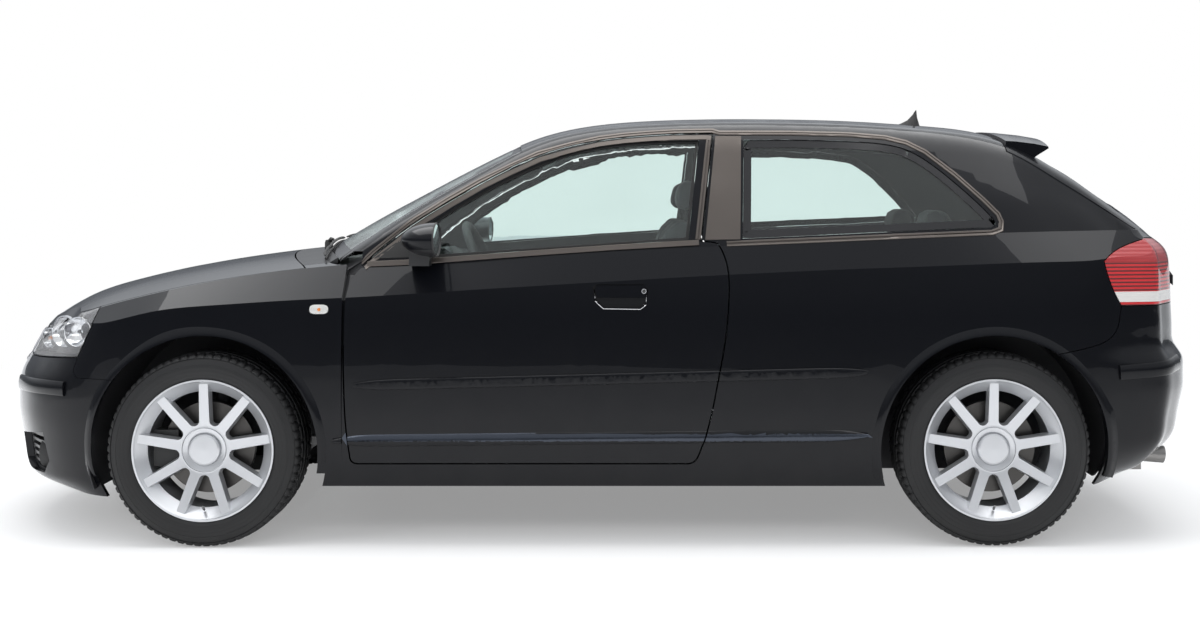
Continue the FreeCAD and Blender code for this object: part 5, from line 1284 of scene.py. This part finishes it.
class CAR_OT_seats(bpy.types.Operator):
    """Makes the padded seats with their bolsters, seams and head-rests"""
    bl_idname = "car.seats"
    bl_label = "Seats"

    def execute(self, context):
        cloth = cloth_finish("seat_cloth", settings().seat_colour, 900.0)
        front = []
        for name, *shape in FRONT_PADS:
            pad = self.pad(name, *shape, -FRONT_SEAT_Y, cloth)
            front += [pad, self.twin(pad, name)]
        for name, *shape in REAR_PADS:
            back = self.pad(name, *shape, 0.0, cloth)
            if name == "rear_cushion":
                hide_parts("rear_seat")
        pad = self.pad("rear_headrest", REAR_HEADREST, 0.120, 0.0, 0, -REAR_HEADREST_Y, cloth)
        self.twin(pad, "rear_headrest")
        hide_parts("front_seats")
        self.frames(stock("cabin_plastic"))
        return {"FINISHED"}

    def frames(self, shell):
        """Rails and supports under the seats, and the rods of the head-rests."""
        rails = []
        for middle in (-FRONT_SEAT_Y, FRONT_SEAT_Y):
            for y in (middle - 0.175, middle + 0.175):
                rails.append(round_box((-0.26, y - 0.02, FLOOR_TOP), (0.13, y + 0.02, 0.255), 0.004))
                rails.append(round_box((-0.22, y - 0.012, 0.250), (0.10, y + 0.012, 0.372), 0.004))
            rails += [rod([(0.345, y, 1.0), (0.347, y, 1.11)], 0.006)
                      for y in (middle - 0.064, middle + 0.064)]
        make_piece("seat_rails", joined(*rails), shell, BODY)
        stand = [round_box((0.74, -0.40, FLOOR_TOP), (0.98, 0.40, 0.345), 0.006)]
        stand += [rod([(1.245, y + s, 0.98), (1.245, y + s, 1.04)], 0.006)
                  for y in (-REAR_HEADREST_Y, REAR_HEADREST_Y) for s in (-0.05, 0.05)]
        make_piece("rear_seat_base", joined(*stand), shell, BODY)

    def twin(self, pad, name):
        """The same pad on the other side of the car."""
        copy = bpy.data.objects.new(name + "_right", pad.data.copy())
        bpy.context.collection.objects.link(copy)
        for v in copy.data.vertices:
            v.co.y = -v.co.y
        copy.data.flip_normals()
        copy.data.update()
        for modifier in pad.modifiers:
            made = copy.modifiers.new(modifier.name, modifier.type)
            made.levels = modifier.levels
            made.render_levels = modifier.render_levels
        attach(copy, BODY)
        return copy

    def pad(self, name, outline, half, bolster, seams, y, cloth):
        """One pad: a block with its outline that is swollen, then given its bolsters and seams."""
        piece = self.blank(name, outline, half, y)
        self.swell(piece)
        self.shape(piece, outline, half, y, bolster, seams)
        piece.data.materials.clear()
        piece.data.materials.append(cloth)
        piece.data.polygons.foreach_set("use_smooth", [True] * len(piece.data.polygons))
        if y:
            soft = piece.modifiers.new("soft", "SUBSURF")
            soft.levels = 1
            soft.render_levels = 1
        piece.name = name if not y else name + "_left"
        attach(piece, BODY)
        return piece

    def blank(self, name, outline, half, y):
        """A closed block with the pad's outline, a little smaller than the pad, remeshed evenly."""
        middle = Vector([sum(values) / len(outline) for values in zip(*outline)])
        ring = []
        for p in outline:
            away = Vector(p) - middle
            inner = middle + away * max(0.5, 1 - BLANK_INSET / away.length)
            ring.append((inner.x, y - half + BLANK_INSET, inner.y))
        block = bmesh.new()
        extruded(block, ring, 2 * (half - BLANK_INSET))
        bmesh.ops.recalc_face_normals(block, faces=block.faces[:])
        bmesh.ops.bevel(block, geom=block.edges[:], offset=0.016, segments=2, affect="EDGES")
        mesh = bpy.data.meshes.new(name)
        block.to_mesh(mesh)
        block.free()
        piece = bpy.data.objects.new(name, mesh)
        bpy.context.collection.objects.link(piece)
        even = piece.modifiers.new("even", "REMESH")
        even.mode = "VOXEL"
        even.voxel_size = 0.012 if half < 0.3 else 0.016
        self.apply(piece)
        return piece

    def apply(self, piece):
        """Replaces the piece's mesh with what its modifiers make of it."""
        view = bpy.context.evaluated_depsgraph_get()
        view.update()
        made = bpy.data.meshes.new_from_object(piece.evaluated_get(view))
        piece.modifiers.clear()
        piece.data = made

    def swell(self, piece):
        """Cloth simulation under pressure, with how far each point may move held to a limit."""
        rest = [v.co.copy() for v in piece.data.vertices]
        cloth = piece.modifiers.new("swell", "CLOTH")
        cloth.settings.use_pressure = True
        cloth.settings.uniform_pressure_force = 4
        cloth.settings.effector_weights.gravity = 0
        cloth.settings.quality = 4
        cloth.point_cache.frame_start = 1
        cloth.point_cache.frame_end = SWELL_FRAMES
        scene = bpy.context.scene
        for frame_number in range(1, SWELL_FRAMES + 1):
            scene.frame_set(frame_number)
        self.apply(piece)
        scene.frame_set(1)
        for v, start in zip(piece.data.vertices, rest):
            move = v.co - start
            if move.length > SWELL_LIMIT:
                v.co = start + move.normalized() * SWELL_LIMIT

    def shape(self, piece, outline, half, y, bolster, seams):
        """Raises the side bolsters and presses the seams in."""
        upright = outline[0][1] < outline[2][1] - 0.3
        extent = [p[1 if upright else 0] for p in outline]
        low, high = min(extent), max(extent)
        edge = half * BOLSTER_START
        normals = [v.normal.copy() for v in piece.data.vertices]
        for v, normal in zip(piece.data.vertices, normals):
            across = abs(v.co.y - y)
            facing = -normal.x if upright else normal.z
            if facing > 0.15:
                raised = max(0.0, min(1.0, (across - edge) / (half * BOLSTER_WIDTH)))
                lift = bolster * raised * raised * (3 - 2 * raised)
                v.co += Vector((-lift, 0, 0)) if upright else Vector((0, 0, lift))
                depth = 0.0
                if bolster:
                    depth += PIPING_DEPTH * math.exp(-((across - edge) / PIPING_WIDTH) ** 2)
                along = v.co.z if upright else v.co.x
                if seams and across < edge * (1.0 if bolster else 1.6):
                    for k in range(1, seams + 1):
                        line = low + (high - low) * k / (seams + 1)
                        depth += SEAM_DEPTH * math.exp(-((along - line) / SEAM_WIDTH) ** 2)
                v.co -= normal * depth
        piece.data.update()


# ---------------------------------------------------------------- stage

PHOTO_WIDTH = 1200
PHOTO_HEIGHT = 640
EYE_AXIS_PIXEL = (640, 200)
PIXELS_PER_DISTANCE = 1507.8
CAMERA_X = 0.183
SIDE_PLANE_Y = -0.868
SENSOR_WIDTH = 36.0
FLOOR_REACH = 40.0
# How far from the middle the floor fades to white, and by what share.
FLOOR_FADE = {"From Min": 2.6, "From Max": 6.0, "To Min": 0.3, "To Max": 1.0}
SKY = ((0.0, (0.10, 0.11, 0.12)), (0.12, (0.16, 0.17, 0.19)), (0.35, (0.75, 0.78, 0.82)),
       (1.0, (0.95, 0.97, 1.0)))
# Name, place, width, height and power.
LAMPS = (("top_light", (0.0, 0.0, 4.5), 7.0, 4.0, 260.0), ("front_light", (-6.0, -3.5, 2.6), 3.0, 2.0, 110.0),
         ("side_light", (1.0, -7.5, 4.2), 8.0, 1.6, 150.0))
LAMP_AIM = Vector((0, 0, 0.5))


class CAR_OT_stage(bpy.types.Operator):
    """Adds the floor, the studio light and the camera"""
    bl_idname = "car.stage"
    bl_label = "Stage"

    def execute(self, context):
        chosen = settings()
        scene = context.scene
        scene.view_settings.view_transform = "Standard"
        self.floor(chosen)
        self.world(scene)
        self.lamps()
        self.camera(scene, chosen)
        return {"FINISHED"}

    def floor(self, chosen):
        """A wide pale floor, which the camera sees fade to white away from the car."""
        mesh = bpy.data.meshes.new("floor")
        corners = [(x * FLOOR_REACH, y * FLOOR_REACH, 0) for x, y in ((-1, -1), (1, -1), (1, 1), (-1, 1))]
        mesh.from_pydata(corners, [], [(0, 1, 2, 3)])
        floor = bpy.data.objects.new("floor", mesh)
        bpy.context.collection.objects.link(floor)
        finish = Finish("pale_floor")
        finish.set(Roughness=0.9, Specular_IOR_Level=0.1)
        cloud = finish.node("ShaderNodeTexNoise", {"Scale": 0.4})
        tone = chosen.floor_colour
        finish.tint(tone, tuple(min(1, c * 1.02) for c in tone), cloud.outputs["Fac"])
        white = finish.node("ShaderNodeEmission", {"Color": WHITE, "Strength": 1.0})
        far = finish.node("ShaderNodeVectorMath", {0: finish.place()}, operation="LENGTH")
        fade = finish.node("ShaderNodeMapRange", {"Value": far.outputs["Value"], **FLOOR_FADE},
                           interpolation_type="SMOOTHSTEP")
        seen = finish.node("ShaderNodeLightPath").outputs["Is Camera Ray"]
        share = finish.maths("MULTIPLY", seen, fade.outputs["Result"])
        mix = finish.node("ShaderNodeMixShader", {0: share, 1: finish.shader.outputs[0], 2: white.outputs[0]})
        finish.feed(finish.tree.nodes["Material Output"].inputs["Surface"], mix.outputs[0])
        wear(floor, finish.material)

    def world(self, scene):
        """A sky that is dark low down and pale above; the camera sees plain white instead."""
        world = bpy.data.worlds.new("studio")
        scene.world = world
        world.use_nodes = True
        graph = Graph(world.node_tree)
        direction = graph.node("ShaderNodeTexCoord").outputs["Generated"]
        shade = graph.node("ShaderNodeValToRGB", {"Fac": graph.height(direction)})
        stops = shade.color_ramp.elements
        for position, colour in SKY[1:-1]:
            stops.new(position)
        for stop, (position, colour) in zip(stops, SKY):
            stop.position = position
            stop.color = (*colour, 1)
        background = graph.tree.nodes["Background"]
        graph.feed(background.inputs["Color"], shade.outputs["Color"])
        white = graph.node("ShaderNodeBackground", {"Color": WHITE, "Strength": 1.0})
        ray = graph.node("ShaderNodeLightPath").outputs
        seen = graph.maths("MAXIMUM", ray["Is Camera Ray"], ray["Is Transmission Ray"])
        mix = graph.node("ShaderNodeMixShader", {0: seen, 1: background.outputs[0], 2: white.outputs[0]})
        graph.feed(graph.tree.nodes["World Output"].inputs["Surface"], mix.outputs[0])

    def lamps(self):
        """Area lamps; only the top one shows in reflections."""
        for name, place, width, height, power in LAMPS:
            data = bpy.data.lights.new(name, "AREA")
            data.shape = "RECTANGLE"
            data.size = width
            data.size_y = height
            data.energy = power
            lamp = bpy.data.objects.new(name, data)
            bpy.context.collection.objects.link(lamp)
            lamp.location = place
            lamp.visible_glossy = name == "top_light"
            lamp.rotation_euler = (LAMP_AIM - Vector(place)).to_track_quat("-Z", "Y").to_euler()

    def camera(self, scene, chosen):
        """The photograph's view: level, and shifted to put the eye's axis on its pixel."""
        data = bpy.data.cameras.new("photo_camera")
        data.sensor_width = SENSOR_WIDTH
        data.lens = data.sensor_width * PIXELS_PER_DISTANCE / PHOTO_WIDTH
        data.shift_x = (PHOTO_WIDTH / 2 - EYE_AXIS_PIXEL[0]) / PHOTO_WIDTH
        data.shift_y = (EYE_AXIS_PIXEL[1] - PHOTO_HEIGHT / 2) / PHOTO_WIDTH
        data.clip_end = 200.0
        camera = bpy.data.objects.new("photo_camera", data)
        bpy.context.collection.objects.link(camera)
        camera.location = (CAMERA_X, SIDE_PLANE_Y - chosen.eye_distance, chosen.eye_height)
        camera.rotation_euler = (math.radians(90), 0, 0)
        scene.camera = camera


class CAR_PT_sidebar(bpy.types.Panel):
    """Lists the car's settings and the steps that dress it"""
    bl_label = "Hatchback Car"
    bl_idname = "CAR_PT_sidebar"
    bl_space_type = "VIEW_3D"
    bl_region_type = "UI"
    bl_category = "Hatchback"

    def draw(self, context):
        column = self.layout.column()
        for key in CarSettings.__annotations__:
            column.prop(context.scene.car_settings, key)
        for step in STEPS:
            column.operator(step.bl_idname)


STEPS = [CAR_OT_panels, CAR_OT_side_details, CAR_OT_window_trim, CAR_OT_wheels, CAR_OT_lamps, CAR_OT_ends,
         CAR_OT_cabin, CAR_OT_seats, CAR_OT_stage]
CLASSES = [CarSettings] + STEPS + [CAR_PT_sidebar]


def register():
    """Makes the settings, the steps and the sidebar known."""
    for item in CLASSES:
        bpy.utils.register_class(item)
    bpy.types.Scene.car_settings = PointerProperty(type=CarSettings)


def unregister():
    """Takes them away again."""
    del bpy.types.Scene.car_settings
    for item in reversed(CLASSES):
        bpy.utils.unregister_class(item)


def main():
    """Dresses the car step by step."""
    register()
    bpy.ops.car.panels()
    bpy.ops.car.side_details()
    bpy.ops.car.window_trim()
    bpy.ops.car.wheels()
    bpy.ops.car.lamps()
    bpy.ops.car.ends()
    bpy.ops.car.cabin()
    bpy.ops.car.seats()
    bpy.ops.car.stage()


if __name__ == "__main__":
    main()
